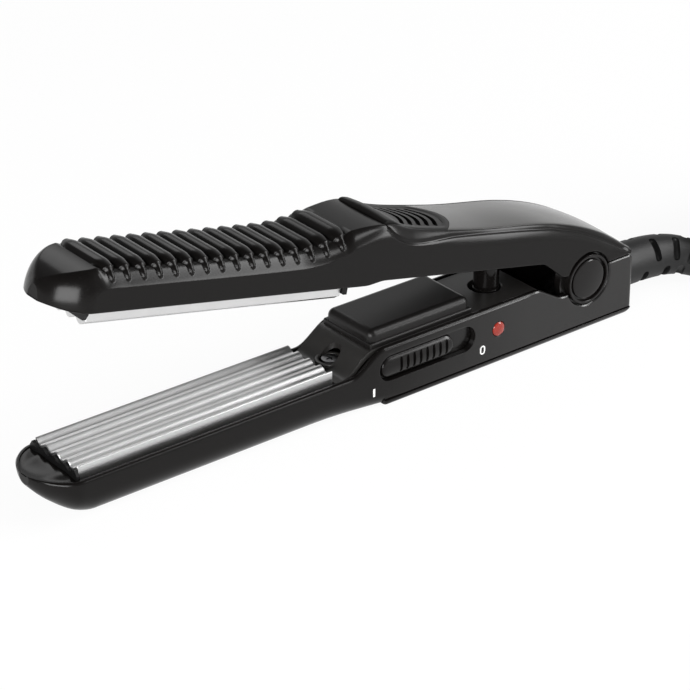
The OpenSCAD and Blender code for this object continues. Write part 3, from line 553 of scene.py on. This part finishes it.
at_hinge = Matrix.Translation(hinge)
nose = [0.35 - reach + 17.65 * (1 - math.cos(a)) for a in quarter(26)]
solid_nose = [x for x in nose if x < hollow_front - 0.2] + [hollow_front]
open_jaw = [hollow_front + jog] + [x for x in nose if x > hollow_front + 0.2] + [-180, -150, -120]
open_jaw += [round_end, -108, -104] + [mix(ramp_front, ramp_back, k / 16) for k in range(16)]
handle = [cover_front + jog, -84, -80, -76, -70, -64, -54, -43, -34, -28]
handle += [-24.5 + 0.7 * k for k in range(49)]
rear = [rear_block + jog, 10, 10.6, 12, 15, 17.5, 18.2]
rear += [18.8 + 1.7 * math.sin(a) for a in quarter(6)]
rings = [lower_ring(x, None, False) for x in solid_nose]
rings += [lower_ring(x, floor_z, False) for x in open_jaw + [cover_front]]
rings += [lower_ring(x, floor_z, True) for x in handle + [rear_block]]
rings += [lower_ring(x, None, True) for x in rear]
lower_shell = lofted("lower_shell_skin", rings, at_hinge)
cut_cap_seats(lower_shell, 2.6)
slot_rows = [(slot_len + grow, slot_h + grow, y)
             for grow, y in ((0, -12), (0, -14.6), (0.25, -14.88), (0.8, -15), (0.8, -16))]
cut(lower_shell, lofted("slot_cutter", stadium_rings(slot_x, slot_z, slot_rows), at_hinge))
lens_hole = [(0, -1.6), (2.5, -1.6), (2.5, -0.25), (2.75, 0), (2.75, 1), (0, 1)]
cut(lower_shell, turned("lens_cutter", lens_hole, sideways(-1, lens_x, lens_z)))
boss = [(0, -5), (11, -5), (11, -2.3), (0, -2.3)]
bosses = [turned("hinge_boss", boss, sideways(side)) for side in (-1, 1)]
floor_rows = [(slot_len + 3, slot_h + 2, -12.6), (slot_len + 3, slot_h + 2, -11.4)]
slot_floor = lofted("slot_floor", stadium_rings(slot_x, slot_z, floor_rows), at_hinge)
lower_shell = joined([lower_shell, slot_floor] + bosses)
gloss_black = (0.004, 0.0035, 0.0033)
shell_black = moulded("shell_black", gloss_black, bloom, 0.2, spread=0.06, relief=0.015, gloss=0.16)
case_black = moulded("case_black", gloss_black, bloom, 0.2, spread=0.06, relief=0.015, gloss=0.16,
                     polish=(5, 70, 0.55))
finished(lower_shell, "lower_arm", case_black, ["lower_shell"])

# Bottom cover: a flat moulded lid under the handle, screwed on from below. It stands a hair proud of
# the shell, so that its rounded edge shows as a fine bright bead under a dark parting line.


def cover_ring(x):
    """Cross-section of the bottom cover: a shallow lid with rounded lower corners and a soft rim."""
    top, soft = part_z - 0.45, 1.7
    front = edge_round(span(x, cover_front, cover_front + 1.2))
    side, low = half_width(x) + 0.3 - 0.6 * front, keel(x) + 0.8 * front
    drop = min(soft, top - 0.2 - low)
    half = [(0, low), (side / 2, low)]
    half += [(side - soft + soft * math.sin(a), low + drop - drop * math.cos(a)) for a in quarter(8)]
    half += [(side - 0.05, top - 0.08), (side - 0.2, top), (0, top)]
    return closed_ring(x, half)


cover_places = [cover_front + 0.05, -87.3, -87, -86.7, -86.3, -84, -80, -76, -70, -64, -43, -20, 0, 10, 17.5]
cover_places += [17.5 + 2.6 * math.sin(a) for a in quarter(6)[1:]]
bottom_cover = lofted("bottom_cover_lid", [cover_ring(x) for x in cover_places], at_hinge)
finished(bottom_cover, "lower_arm", case_black, ["bottom_cover"])

# Upper shell: the ribbed moulding that swings on the hinge, glossy black. Sixteen cooling ribs run
# across the jaw and end in round fingertips on the shoulder; a hump and a long grip follow.
open_angle = math.radians(12.5)
swung = at_hinge @ Matrix.Rotation(open_angle, 4, "Y")
rib_count, rib_pitch, rib_h, rib_foot, rib_over = 16, 5.74, 2.4, -1.1, 0.3
crest_half, finger_half, finger_h, finger_at = 1.03, 0.36, 0.42, 0.6
first_rib = jaw_front + 5.8
last_rib = first_rib + rib_pitch * (rib_count - 1)
jaw_w, grip_w, tip_w = 4.2, 3, 5.5
jaw_flat, grip_flat, tip_flat = 1.5, 1.25, 1.05
shoulder_h, tip_h, tip_front, tip_back = 5, 12, -209, jaw_front + 5
groove_front, groove_back, groove_depth = -93.2, 16, 0.55
hollow_back, pocket_back, tail_tip = 11, 17, 18
panel_half, panel_t = 11.7, 1.5


def tail_edge(x):
    """Lower edge of the upper arm over the rear case, just clear of it when open."""
    return (3.6 + x * math.sin(open_angle)) / math.cos(open_angle)


edge_line = [
    (-214, 6.1), (-208, 5.5), (-98, 5.5), (-92, 6.75), (-22, 6.75), (-11.6, 1.2),
    (8.5, tail_edge(8.5)), (tail_tip, tail_edge(tail_tip)),
]
crown_line = [
    (-214, 9.4), (-213, 11.8), (-210, 14.6), (-206, 16.6), (-202, 17.8), (-198, 18.4), (-190, 18.4),
    (-126, 18.7), (-116, 20), (-106, 22.9), (-97, 24.5), (-90, 24.5), (-81, 22.4), (-70, 21.2),
    (-50, 20.2), (-25, 20.1), (-9, 18.4), (5, 15), (tail_tip, tail_edge(tail_tip) + 1.9),
]
groove_line = [
    (-95, 26), (-92.4, 23.4), (-89.5, 20.9), (-86, 19.4), (-82, 18.6), (-77, 18.5), (-71, 19), (-64, 19.5),
    (-57, 19.5), (-33, 19.4), (-21, 19), (-9, 17.2), (0.6, 14.6), (10.6, 11.2), (16, 9),
]


def crown(x):
    """Roof of the upper arm in side view: a smooth line through the corners of crown_line."""
    last = len(crown_line) - 1
    i = max(k for k in range(last) if k == 0 or x >= crown_line[k][0])
    (x0, z0), (x1, z1) = crown_line[i], crown_line[i + 1]
    before, after = crown_line[max(0, i - 1)], crown_line[min(last, i + 2)]
    lean0 = (z1 - before[1]) / (x1 - before[0])
    lean1 = (after[1] - z0) / (after[0] - x0)
    t = span(x, x0, x1)
    bulge = (x1 - x0) * (lean0 * t * (1 - t) ** 2 - lean1 * t * t * (1 - t))
    return mix(z0, z1, ease(t)) + bulge


def rib(x, down):
    """Height of the ribs, from 1 on a crest to little in a groove. Over the shoulder, from down = 0
    to 1, each rib narrows to a finger with a round tip."""
    n = max(0, min(rib_count - 1, round((x - first_rib) / rib_pitch)))
    off = 2 * abs(x - first_rib - n * rib_pitch) / rib_pitch
    narrowing = ease(down / finger_at)
    fullness = math.sqrt(1 - span(down, finger_at, 1) ** 2)
    half_rib = mix(crest_half, finger_half, narrowing) * fullness
    if off >= half_rib:
        return 0
    return mix(1, finger_h, narrowing) * fullness * math.sqrt(1 - (off / half_rib) ** 2)


def upper_ring(x, hollow, pocket):
    """Cross-section of the upper shell: roof, rounded shoulder, side, soft edge and hollow inside."""
    w = half_width(min(x, 0))
    low, top = softened(x, edge_line, 1.2), crown(x)
    nearness = span(x, first_rib - 4.5, first_rib - 1) * span(x, last_rib + 4.5, last_rib + 1)
    raised = rib_foot * ease(nearness)
    tip = 1 - ease(span(x, tip_front, tip_back))
    grip_share = ease(span(x, -108, -92))
    round_w = min(mix(mix(jaw_w, grip_w, grip_share), tip_w, tip), 0.96 * w)
    round_h = min(mix(shoulder_h, tip_h, tip), mix(0.62, 0.95, tip) * (top + raised - low))
    flat = mix(mix(jaw_flat, grip_flat, grip_share), tip_flat, tip)
    if pocket:
        edge_y = panel_half + 0.3
        half = [(share * edge_y, top - panel_t) for share in (0, 0.2, 0.4, 0.6, 0.8, 1)]
        half += [(edge_y, top - 0.3), (edge_y + 0.1, top - 0.08)]
    else:
        half = [(share * (w - round_w), top + raised + rib_h * rib(x, rib_over * span(share, 0.6, 1)))
                for share in (0, 0.3, 0.6, 0.7, 0.78, 0.86, 0.93, 0.98)]
    for a in reversed(quarter(36)):
        level, rise = max(0, math.cos(a)), math.sin(a)
        y = w - round_w + round_w * level ** flat
        z = top + raised * mix(0.4, 1, rise) - round_h + round_h * rise ** flat
        proud = rib_h * rib(x, mix(rib_over, 1, span(math.degrees(a), 88, 32)))
        out_y, out_z = round_h * level ** (2 - flat), round_w * rise ** (2 - flat)
        y += proud * out_y / math.hypot(out_y, out_z)
        z += proud * out_z / math.hypot(out_y, out_z)
        if groove_front < x < groove_back:
            dip = groove_depth * math.exp(-((z - softened(x, groove_line, 2)) / groove_depth) ** 2)
            y -= dip * math.cos(a) + 0.1 * dip
            z -= dip * math.sin(a)
        half.append((y, z))
    soft = min(0.55, 0.2 * w)
    inner = max(w - wall, 0.3 * w)
    half += [(w, half[-1][1] - 0.25), (w, mix(half[-1][1], low + soft, 0.5))]
    half += [(w - soft + soft * math.cos(a), low + soft - soft * math.sin(a)) for a in quarter(4)]
    roof_in = top - 3.2 if hollow else low
    half += [(inner, low), (inner, max(low, roof_in - 4))]
    half += [(share * inner, roof_in) for share in (0.7, 0.4, 0)]
    return closed_ring(x, half)


rib_start = first_rib - rib_pitch / 2
rib_rows = [hollow_front + jog + (rib_start - hollow_front) * k / 12 for k in range(12)]
rib_rows += [rib_start + rib_pitch * k / 20 for k in range(20 * rib_count + 1)]
hump_rows = [mix(rib_rows[-1], groove_front, k / 16) for k in range(1, 17)]
thumb_rows = [groove_front + 0.05 + 0.4 * k for k in range(45)]
grip_rows = [-74 + 1.6 * k for k in range(19)] + [-44, -40, -35, -30, -26]
grip_rows += [-24 + 0.8 * k for k in range(44)]
rings = [upper_ring(x, False, False) for x in solid_nose]
rings += [upper_ring(x, True, False) for x in rib_rows + hump_rows]
rings += [upper_ring(x, True, True) for x in thumb_rows + grip_rows + [hollow_back]]
rings += [upper_ring(x, False, True) for x in (hollow_back + jog, 12, 13, 14, 15, 16, pocket_back)]
rings += [upper_ring(x, False, False) for x in (pocket_back + jog, 17.5, tail_tip)]
upper_shell = lofted("upper_shell_skin", rings, swung)
cut_cap_seats(upper_shell, 3)
finished(upper_shell, "upper_arm", shell_black, ["upper_shell"], 50)

# Thumb rest: a separate slotted moulding let into the roof behind the hump. A rounded lip stands up
# in front, curved slots cross a shallow hollow, and the rear end is round in plan.
thumb_front, thumb_apex, pad_bulge = -93, -58.5, 7.5
lip_h, lip_front, lip_top, lip_back, hollow_depth = 0.9, -91.6, -90.6, -84, 0.35
inlay_foot, inlay_flat, panel_end = -1.45, 11, 16.8
slot_count, slot_pitch, slot_r, slot_half = 5, 3.6, 0.95, 7.2


def bowed(x, y):
    """A place on a line across the roof that bows to the back in the middle."""
    return x - pad_bulge * (y / panel_half) ** 2


def camber(y):
    """Rise of the pad and the panel across the roof, highest in the middle."""
    return 0.7 * (1 - (y / panel_half) ** 2)


def pad_row(share):
    """Points across the thumb rest, a share of the way from its front to its round rear end."""
    half = [(0, inlay_foot), (panel_half, inlay_foot), (panel_half, -0.5), (11.6, -0.22), (11.3, -0.05)]
    half += [(inlay_flat * (1 - k / 14), 0) for k in range(15)]
    row = []
    for y, rise in half:
        x = mix(thumb_front, bowed(thumb_apex, y), share)
        lip = lip_h * (1 - ease(span(x, lip_top, lip_back)))
        lip -= 0.8 * edge_round(span(x, thumb_front, lip_front))
        hollow = hollow_depth * ease(span(y, 10, 8.6)) * ease(span(x, -88, -83))
        hollow *= ease(span(share, 0.97, 0.9))
        z = crown(x) + rise
        if rise > -1:
            z += lip + camber(y) - hollow
        row.append((x, y, z))
    return both_sides(row)


thumb_pad = lofted("thumb_rest", [pad_row(k / 87) for k in range(88)], swung)
places = [slot_half * (n / 8 - 1) for n in range(17)]
turns = [n * math.pi / 8 for n in range(1, 8)]
for k in range(slot_count):
    x = thumb_apex - 6 - slot_pitch * k
    end_x = bowed(x, slot_half)
    outline = [(bowed(x + slot_r, y), y) for y in places]
    outline += [(end_x + slot_r * math.cos(a), slot_half + slot_r * math.sin(a)) for a in turns]
    outline += [(bowed(x - slot_r, y), y) for y in reversed(places)]
    outline += [(end_x - slot_r * math.cos(a), -slot_half - slot_r * math.sin(a)) for a in turns]
    outline += outline[:1]
    rows = [[(px, py, crown(px) + rise) for px, py in outline] for rise in (-1.25, 2)]
    cut(thumb_pad, lofted("thumb_slot", rows, swung))
pad_black = moulded("pad_black", (0.005, 0.0045, 0.0043), bloom, 0.38, spread=0.1, relief=0.05, gloss=0.12)
finished(thumb_pad, "upper_arm", pad_black, ["thumb_pad"])

# Top panel: a smooth glossy cover strip clipped into the grip's roof, from the thumb rest to the tail.
# Its face is bare and dark grey, with soft long edges.


def panel_row(share):
    """Points across the top panel, a share of the way from the thumb rest to the tail."""
    half = [(0, inlay_foot), (panel_half, inlay_foot), (panel_half, -0.45), (11.62, -0.2), (11.4, -0.06)]
    half += [(inlay_flat * (1 - k / 8), 0) for k in range(9)]
    row = []
    for y, rise in half:
        x = mix(bowed(thumb_apex, y) + 0.25, panel_end, share)
        row.append((x, y, crown(x) + rise + (camber(y) if rise > -1 else 0)))
    return both_sides(row)


top_panel = lofted("top_panel_strip", [panel_row(k / 70) for k in range(71)], swung)
panel_grey = moulded("panel_grey", (0.052, 0.051, 0.049), (0.06, 0.06, 0.06), 0.2, spread=0.06, relief=0.02,
                     gloss=0.6)
finished(top_panel, "upper_arm", panel_grey, ["top_panel"])

# Hinge caps: round press-in caps on both ends of the hinge pin, glossy black. A raised rim and a sharp
# groove surround a domed disc.
cap = [(0, -2.2), (8.8, -2.2), (8.8, -0.15), (8.72, 0.06), (8.5, 0.15), (8.1, 0.15), (7.95, 0.06)]
cap += [(7.88, -0.6), (7.75, -1), (7.1, -1), (6.98, -0.6), (6.9, -0.2), (6.7, -0.02)]
cap += [(r, 0.5 - r ** 2 / 90) for r in [6.4 * (1 - k / 8) for k in range(9)]]
caps = [turned("hinge_cap", cap, sideways(side), 96) for side in (-1, 1)]
cap_black = moulded("cap_black", (0.0046, 0.004, 0.0038), bloom, 0.14, spread=0.06, relief=0.015, gloss=0.24)
finished(joined(caps), "lower_arm", cap_black, ["hinge_caps"])

# Inner cover: the black moulding that closes the handle from above, a curved ramp up from the plate and
# a flat deck. One screw holds it down in a well with a raised collar.
deck_half, deck_z, screw_x, tube_hole_x = 12.7, 2, -98, -33.05
foot_z, foot_end, deck_start = -5, -103, -91


def ramp(x):
    """Top of the inner cover: a foot beside the plate, an S-shaped ramp, then the deck."""
    return mix(foot_z, deck_z, ease(span(x, foot_end, deck_start)))


def deck_ring(x):
    """Cross-section of the inner cover: a plate with soft upper edges."""
    top = ramp(x)
    edge = [(deck_half, top - 0.35), (12.6, top - 0.1), (12.35, top)]
    return closed_ring(x, [(0, top - 2), (deck_half, top - 2)] + edge + [(0, top)])


deck_rows = [-105.6, -104.4] + [mix(foot_end, deck_start, k / 24) for k in range(25)] + [-80, -60, -40, -21.5]
inner_cover = lofted("inner_cover_deck", [deck_ring(x) for x in deck_rows], at_hinge)
well = [(0, -9), (3.5, -9), (3.5, 6), (0, 6)]
cut(inner_cover, turned("well_cutter", well, upright(screw_x)))
tube_hole = [(0, -4), (5.5, -4), (5.5, 1.7), (5.8, 2), (5.8, 4), (0, 4)]
cut(inner_cover, turned("hole_cutter", tube_hole, upright(tube_hole_x)))
collar = [(0, -7.6), (5, -7.6), (5, -4), (4.85, -3.7), (4.6, -3.6), (4, -3.6), (3.7, -3.75)]
collar += [(3.5, -4.1), (3.5, -5.6), (0, -5.6)]
inner_cover = joined([inner_cover, turned("collar", collar, upright(screw_x))])
deck_black = moulded("deck_black", (0.014, 0.0132, 0.0125), bloom, 0.36, spread=0.1, relief=0.04, gloss=0.36)
finished(inner_cover, "lower_arm", deck_black, ["inner_cover"])

# Stop block: a moulded block on the deck that the upper arm closes on, softly rounded all round, with a
# narrow ledge at its foot.


def slab(name, low, high, soft, segments):
    """A block between two corners, with all edges but those of its foot rounded."""
    clear_selection()
    low, high = Vector(low) + hinge, Vector(high) + hinge
    bpy.ops.mesh.primitive_cube_add(size=1, location=(low + high) / 2 * MM)
    piece = bpy.context.object
    piece.name = name
    piece.scale = (high - low) * MM
    bpy.ops.object.transform_apply(location=True, rotation=True, scale=True)
    foot = low.z * MM + 1e-6
    set_mode("EDIT")
    bpy.ops.mesh.select_mode(type="EDGE")
    bpy.ops.mesh.select_all(action="DESELECT")
    set_mode("OBJECT")
    for edge in piece.data.edges:
        edge.select = max(piece.data.vertices[v].co.z for v in edge.vertices) > foot
    set_mode("EDIT")
    bpy.ops.mesh.bevel(offset=soft * MM, segments=segments, profile=0.5, affect="EDGES")
    set_mode("OBJECT")
    return piece


block = slab("stop_block_body", (-91, -11.6, deck_z), (-49.2, 11.6, 7.7), 2.6, 8)
ledge = slab("block_ledge", (-91.3, -12.2, deck_z), (-48.9, 12.2, 3.8), 0.6, 4)
block_satin = moulded("block_satin", (0.0055, 0.005, 0.0048), bloom, 0.34, spread=0.1, relief=0.03,
                      gloss=0.22)
finished(joined([block, ledge]), "lower_arm", block_satin, ["stop_block"])

# Switch knob: a moulded slider that rides in the slot of the side wall. Its face is bowed, and eight
# short grooves give the finger hold.
knob_x, knob_len, knob_h, knob_y, bow_r = -73.65, 30, 8.2, -15.1, 7.5
groove_count, groove_pitch, groove_mid = 8, 2.7, 2.3


def knob_ring(inset, drop):
    """Outline of the knob pulled in by a margin, on its bowed face or a drop behind it."""
    ring = []
    for px, pz in stadium(knob_len - 2 * inset, knob_h - 2 * inset, 14):
        bow = bow_r - math.sqrt(bow_r ** 2 - pz * pz)
        ring.append((knob_x + px, knob_y + bow + drop, slot_z + pz))
    return ring


knob_rows = [(0, 1.6), (0, 0.9), (0.1, 0.55), (0.3, 0.28), (0.6, 0.1)]
knob_rows += [(inset, 0) for inset in (1, 1.6, 2.4, 3.2, 4)]
knob = lofted("switch_slider", [knob_ring(inset, drop) for inset, drop in knob_rows], at_hinge)
for k in range(groove_count):
    x = knob_x + groove_mid + groove_pitch * (k - (groove_count - 1) / 2)
    outline = [(x + pz, px) for px, pz in stadium(5.2, 1.15, 6)]
    rows = [[(px, y, slot_z + pz) for px, pz in outline] for y in (-14.35, -16)]
    cut(knob, lofted("grip_groove", rows, at_hinge))
finished(knob, "switch", case_black, ["switch_knob"])

# Switch marks: a stroke and a ring printed in white on the side wall, at the two ends of the travel.
print_in, print_out, ring_x, ring_z = -14.9, -15.06, -46.5, -11.5
mark_on = slab("mark_on", (-92.4, print_out, -13.4), (-91.6, print_in, -10.6), 0.03, 1)
ring_rows = [(2.2, 3.2, print_in), (2.2, 3.2, print_out), (1.2, 2.2, print_out), (1.2, 2.2, print_in)]
ring_rows += ring_rows[:1]
rows = [[(ring_x + pz, y, ring_z + px) for px, pz in stadium(tall, wide, 10)] for wide, tall, y in ring_rows]
mark_off = lofted("mark_off", rows, at_hinge)
print_white = moulded("print_white", (0.7, 0.7, 0.69), (0.6, 0.6, 0.6), 0.5)
marks = joined([mark_on, mark_off])
clear_selection()
marks.name = "switch_marks"
marks.data.materials.append(print_white)
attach(marks, "lower_arm")

# Lamp lens: a small domed lens of red plastic over the neon lamp, pressed into the side wall.
lens = [(0, -1.2), (2.42, -1.2), (2.42, 0.05), (2.3, 0.2)]
lens += [(r, 0.72 - r ** 2 / 11) for r in [2.2 * (1 - k / 6) for k in range(7)]]
lens_piece = turned("lamp_lens", lens, sideways(-1, lens_x, lens_z), 48)
lens_red = moulded("lens_red", (0.22, 0.018, 0.01), (0.42, 0.09, 0.05), 0.1, spread=0.05, grain=420.0,
                   relief=0.12, dust=0.3)
finished(lens_piece, "lower_arm", lens_red, ["indicator_lens"])

# Crimping plates: extruded aluminium with a satin coat. Long ridges on the lower plate, with one along
# each edge, mesh with those of the upper plate. The ends are cut square and lightly broken.
ridge_pitch, ridge_h, trough_z = 5.75, 1.5, -2.5
plate_half, lip_half, ridges_half, rail_half, broken = 11.5, 11.46, 11.3, 9.7, 0.22


def wave(y):
    """Height of the ridges across the plate."""
    return trough_z + ridge_h * (1 + math.cos(2 * math.pi * y / ridge_pitch)) / 2


def plate_rows(section):
    """Rings along the plate, with the two ends a little smaller."""
    ends = [(jaw_front, broken), (jaw_front + broken, 0), (jaw_back - broken, 0), (jaw_back, broken)]
    return [[(x, y * (1 - shrink / plate_half), z - shrink * face) for y, z, face in section]
            for x, shrink in ends]


def plate_section(face, lift, edge_z, lip_z, back_z, rail_z):
    """Outline of a plate as (y, z, face): ridges, then a lip along and a rail behind each edge."""
    section = [(-plate_half, edge_z, face), (-lip_half, lip_z, face)]
    section += [(y, wave(y) + lift, face) for y in [ridges_half * (k / 80 * 2 - 1) for k in range(81)]]
    section += [(lip_half, lip_z, face), (plate_half, edge_z, face), (plate_half, rail_z, 0)]
    section += [(rail_half, rail_z, 0), (rail_half, back_z, 0), (-rail_half, back_z, 0)]
    return section + [(-rail_half, rail_z, 0), (-plate_half, rail_z, 0)] + section[:1]


lower_section = plate_section(1, lift=0, edge_z=-1.35, lip_z=-1.15, back_z=-5, rail_z=-7)
lower_plate = lofted("lower_crimp_plate", plate_rows(lower_section), at_hinge)
upper_section = plate_section(-1, lift=2.6, edge_z=1.85, lip_z=1.7, back_z=3.2, rail_z=7.5)
upper_plate = lofted("upper_crimp_plate", plate_rows(upper_section), swung)


def satin_metal(name, colour, roughness, streaks):
    """Metal with fine streaks or grain in its gloss and relief, and slow cloudiness in its colour."""
    made, add, calculate, link = new_material(name)
    place = add("TexCoord").outputs["Object"]
    stretch = add("Mapping", Vector=place, Scale=streaks)
    drawn = add("TexNoise", Vector=stretch.outputs["Vector"], Scale=1, Detail=3).outputs["Fac"]
    cloud = add("TexNoise", Vector=place, Scale=160, Detail=5).outputs["Fac"]
    uneven = calculate("MULTIPLY_ADD", drawn, 0.16, roughness - 0.08)
    skin = add("BsdfPrincipled", Metallic=1, Roughness=uneven)
    surfaced(add, link, skin, ([0.86 * c for c in colour], colour), cloud, drawn, 0.12, 0.1 * MM)
    return made


plate_metal = satin_metal("plate_metal", (0.71, 0.71, 0.71), 0.31, (60, 2600, 2600))
finished(lower_plate, "lower_arm", plate_metal, ["lower_plate"])
finished(upper_plate, "upper_arm", plate_metal, ["upper_plate"])

# Strain relief: a tapered boot of soft black rubber that bends with the lead. Staggered slots through
# its wall let it flex.
boot_bends = [Vector(p) for p in ((117.75, 0, 9.3), (141, 0, 9.5), (149.5, -1.5, 9), (155, -12, 6))]
boot_d, boot_tip_d, boot_steps, tip_start = 15.4, 11.6, 60, 0.98
flex_pairs, flex_start, flex_size, flex_soft = 6, 0.24, Vector((2.6, 6.4, 8.6)), 1.1


def boot_axis(t):
    """Middle line of the boot."""
    a, b, c, d = boot_bends
    s = 1 - t
    return s ** 3 * a + 3 * s * s * t * b + 3 * s * t * t * c + t ** 3 * d


def boot_frame(t):
    """Place and turn of the boot's cross-section, with X along it."""
    along = (boot_axis(min(1, t + 0.01)) - boot_axis(max(0, t - 0.01))).normalized()
    if t == 0:
        along = Vector((1, 0, 0))
    side = along.cross(Vector((0, 0, 1))).normalized()
    up = side.cross(along)
    turn = Matrix((along, -side, up)).transposed().to_4x4()
    return Matrix.Translation(boot_axis(t)) @ turn


def boot_ring(t, radius):
    """Round cross-section of the boot."""
    frame_at = boot_frame(t)
    turns = [2 * math.pi * k / 48 for k in range(49)]
    return [frame_at @ Vector((0, radius * math.cos(a), radius * math.sin(a))) for a in turns]


boot_rows = []
for k in range(boot_steps + 1):
    t = k / boot_steps
    radius = mix(boot_d, boot_tip_d, t * t) / 2 - 0.4 * span(t, tip_start, 1) ** 2
    boot_rows.append(boot_ring(t, radius))
boot = lofted("lead_boot", boot_rows)
for k in range(flex_pairs):
    t = mix(flex_start, 1, k / flex_pairs)
    for side in (-1, 1):
        clear_selection()
        bpy.ops.mesh.primitive_cube_add(size=1)
        slot = bpy.context.object
        slot.scale = flex_size * MM
        bpy.ops.object.transform_apply(scale=True)
        set_mode("EDIT")
        bpy.ops.mesh.bevel(offset=flex_soft * MM, segments=4, affect="EDGES")
        set_mode("OBJECT")
        turn = Matrix.Rotation(math.pi / 4 * (-1) ** k, 4, "X")
        spot = boot_frame(t) @ turn @ Matrix.Translation((0, side * boot_d / 2, 0))
        spot.translation *= MM
        slot.data.transform(spot)
        cut(boot, slot)
neck = [(0, -12), (4.4, -12), (4.4, 0.2), (0, 0.2)]
neck_frame = Matrix.Translation(boot_bends[0]) @ Matrix.Rotation(math.pi / 2, 4, "Y")
boot_neck = turned("boot_neck", neck, neck_frame)
boot_rubber = moulded("boot_rubber", (0.0065, 0.0065, 0.0066), (0.04, 0.04, 0.04), 0.5, spread=0.15,
                      grain=1400.0, relief=0.12, gloss=0.35)
finished(joined([boot, boot_neck]), "lower_arm", boot_rubber, ["strain_relief"])

# Spring tube: a short black tube under the upper arm that hides the spring. Its open foot is rolled to a
# small bead, which dips into the hole of the deck.
spring_x = -32.4
tube = [(3.5, 1.2), (3.6, 1), (4.4, 1), (4.55, 1.15), (4.55, 1.7), (4.4, 1.9), (4.3, 2)]
tube += [(4.3, 14.6), (3.5, 14.6), (3.5, 1.2)]
spring_tube = turned("spring_sleeve", tube, upright(spring_x))
finished(spring_tube, "upper_arm", cap_black, ["spring_tube"])

# Plug: a flat two-pin mains plug moulded onto the lead in black plastic, with a waisted grip.


def plug_ring(x, wide, tall, soft):
    """Rounded-rectangle cross-section of the plug."""
    ring = []
    mid_y, mid_z = wide / 2 - soft, tall / 2 - soft
    for sy, sz, start in ((1, 1, 0), (-1, 1, 1), (-1, -1, 2), (1, -1, 3)):
        for k in range(7):
            a = math.pi / 2 * (start + k / 6)
            ring.append((x, sy * mid_y + soft * math.cos(a), sz * mid_z + soft * math.sin(a)))
    return ring + ring[:1]


plug_rows = [
    (0, 7.4, 7.4, 3.6), (0.4, 8, 8, 3.9), (4, 8.2, 8.2, 4), (4.4, 7.4, 7.4, 3.6), (5.4, 7.4, 7.4, 3.6),
    (5.8, 8.6, 8.6, 4.2), (9.2, 9, 9, 4.4), (10, 13, 11, 4.6), (12, 19, 13.2, 4.8), (15, 24.4, 13.6, 5),
    (20, 28, 13.6, 5), (27, 26.6, 13.4, 5), (32, 26, 13.2, 5), (36, 26.6, 13.4, 5),
    (40.5, 26.4, 13.4, 5), (41.4, 25.8, 12.8, 4.8), (42, 24.6, 11.6, 4.6),
]
plug = lofted("mains_plug", [plug_ring(*row) for row in plug_rows], Matrix.Translation(tail_points[-1]))
plug_black = moulded("plug_black", lead_black, lead_bloom, 0.42, spread=0.12, grain=1100.0, relief=0.1)
finished(plug, "lower_arm", plug_black, ["plug_body"])

# Pieces that keep the shape of their solids: screws, pins, heaters, carriers, end pieces, liner, post,
# switch body, neon lamp and tie. Each gets the finish of its material.
screw_steel = satin_metal("screw_steel", (0.5, 0.5, 0.52), 0.35, (900, 900, 900))
dark_steel = satin_metal("dark_steel", (0.3, 0.3, 0.31), 0.32, (900, 900, 900))
pin_nickel = satin_metal("pin_nickel", (0.72, 0.69, 0.62), 0.25, (80, 1500, 1500))
end_black = moulded("end_black", (0.004, 0.004, 0.004), bloom, 0.38, gloss=0.2)
ceramic = moulded("heater_white", (0.7, 0.68, 0.62), (0.8, 0.79, 0.75), 0.6, relief=0.1)
resin = moulded("carrier_brown", (0.06, 0.042, 0.028), (0.12, 0.09, 0.06), 0.55, relief=0.12)
tie_black = moulded("tie_black", (0.01, 0.01, 0.01), (0.04, 0.04, 0.04), 0.5, relief=0.1)
glass = moulded("lamp_glass", (0.8, 0.5, 0.36), (0.9, 0.7, 0.6), 0.1)
kept_shapes = [
    (screw_steel, ["bottom_screws", "liner_screws", "hinge_pin"]), (dark_steel, ["cover_screw"]),
    (pin_nickel, ["plug_pins"]), (ceramic, ["lower_heater", "upper_heater"]),
    (end_black, ["upper_carrier", "lower_retainer", "upper_retainer", "spring_post"]),
    (resin, ["lower_carrier", "switch_body"]), (shell_black, ["upper_liner"]),
    (glass, ["indicator_lamp"]), (tie_black, ["coil_tie"]),
]
for finish, names in kept_shapes:
    for name in names:
        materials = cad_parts[name].data.materials
        materials.clear()
        materials.append(finish)

# Return spring: a thin steel wire wound around the post, inside the tube, with closed end turns. It is
#  attached to neither arm, so it keeps its length as the arms move.
coil_r, wire_r, coil_turns, turn_steps = 2.9, 0.25, 10, 24
climb = [(0, -14.4), (1, -13.85), (coil_turns - 1, 13.75), (coil_turns, 14.3)]
rings = []
for k in range(coil_turns * turn_steps + 1):
    a, level = 2 * math.pi * k / turn_steps, on_line(k / turn_steps, climb)
    ring = []
    for n in range(9):
        b = math.pi * n / 4
        out = coil_r + wire_r * math.cos(b)
        ring.append((spring_x + out * math.cos(a), out * math.sin(a), level + wire_r * math.sin(b)))
    rings.append(ring)
return_coil = lofted("return_coil", rings, at_hinge)
finished(return_coil, None, screw_steel, ["return_spring"], 60)
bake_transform(return_coil)
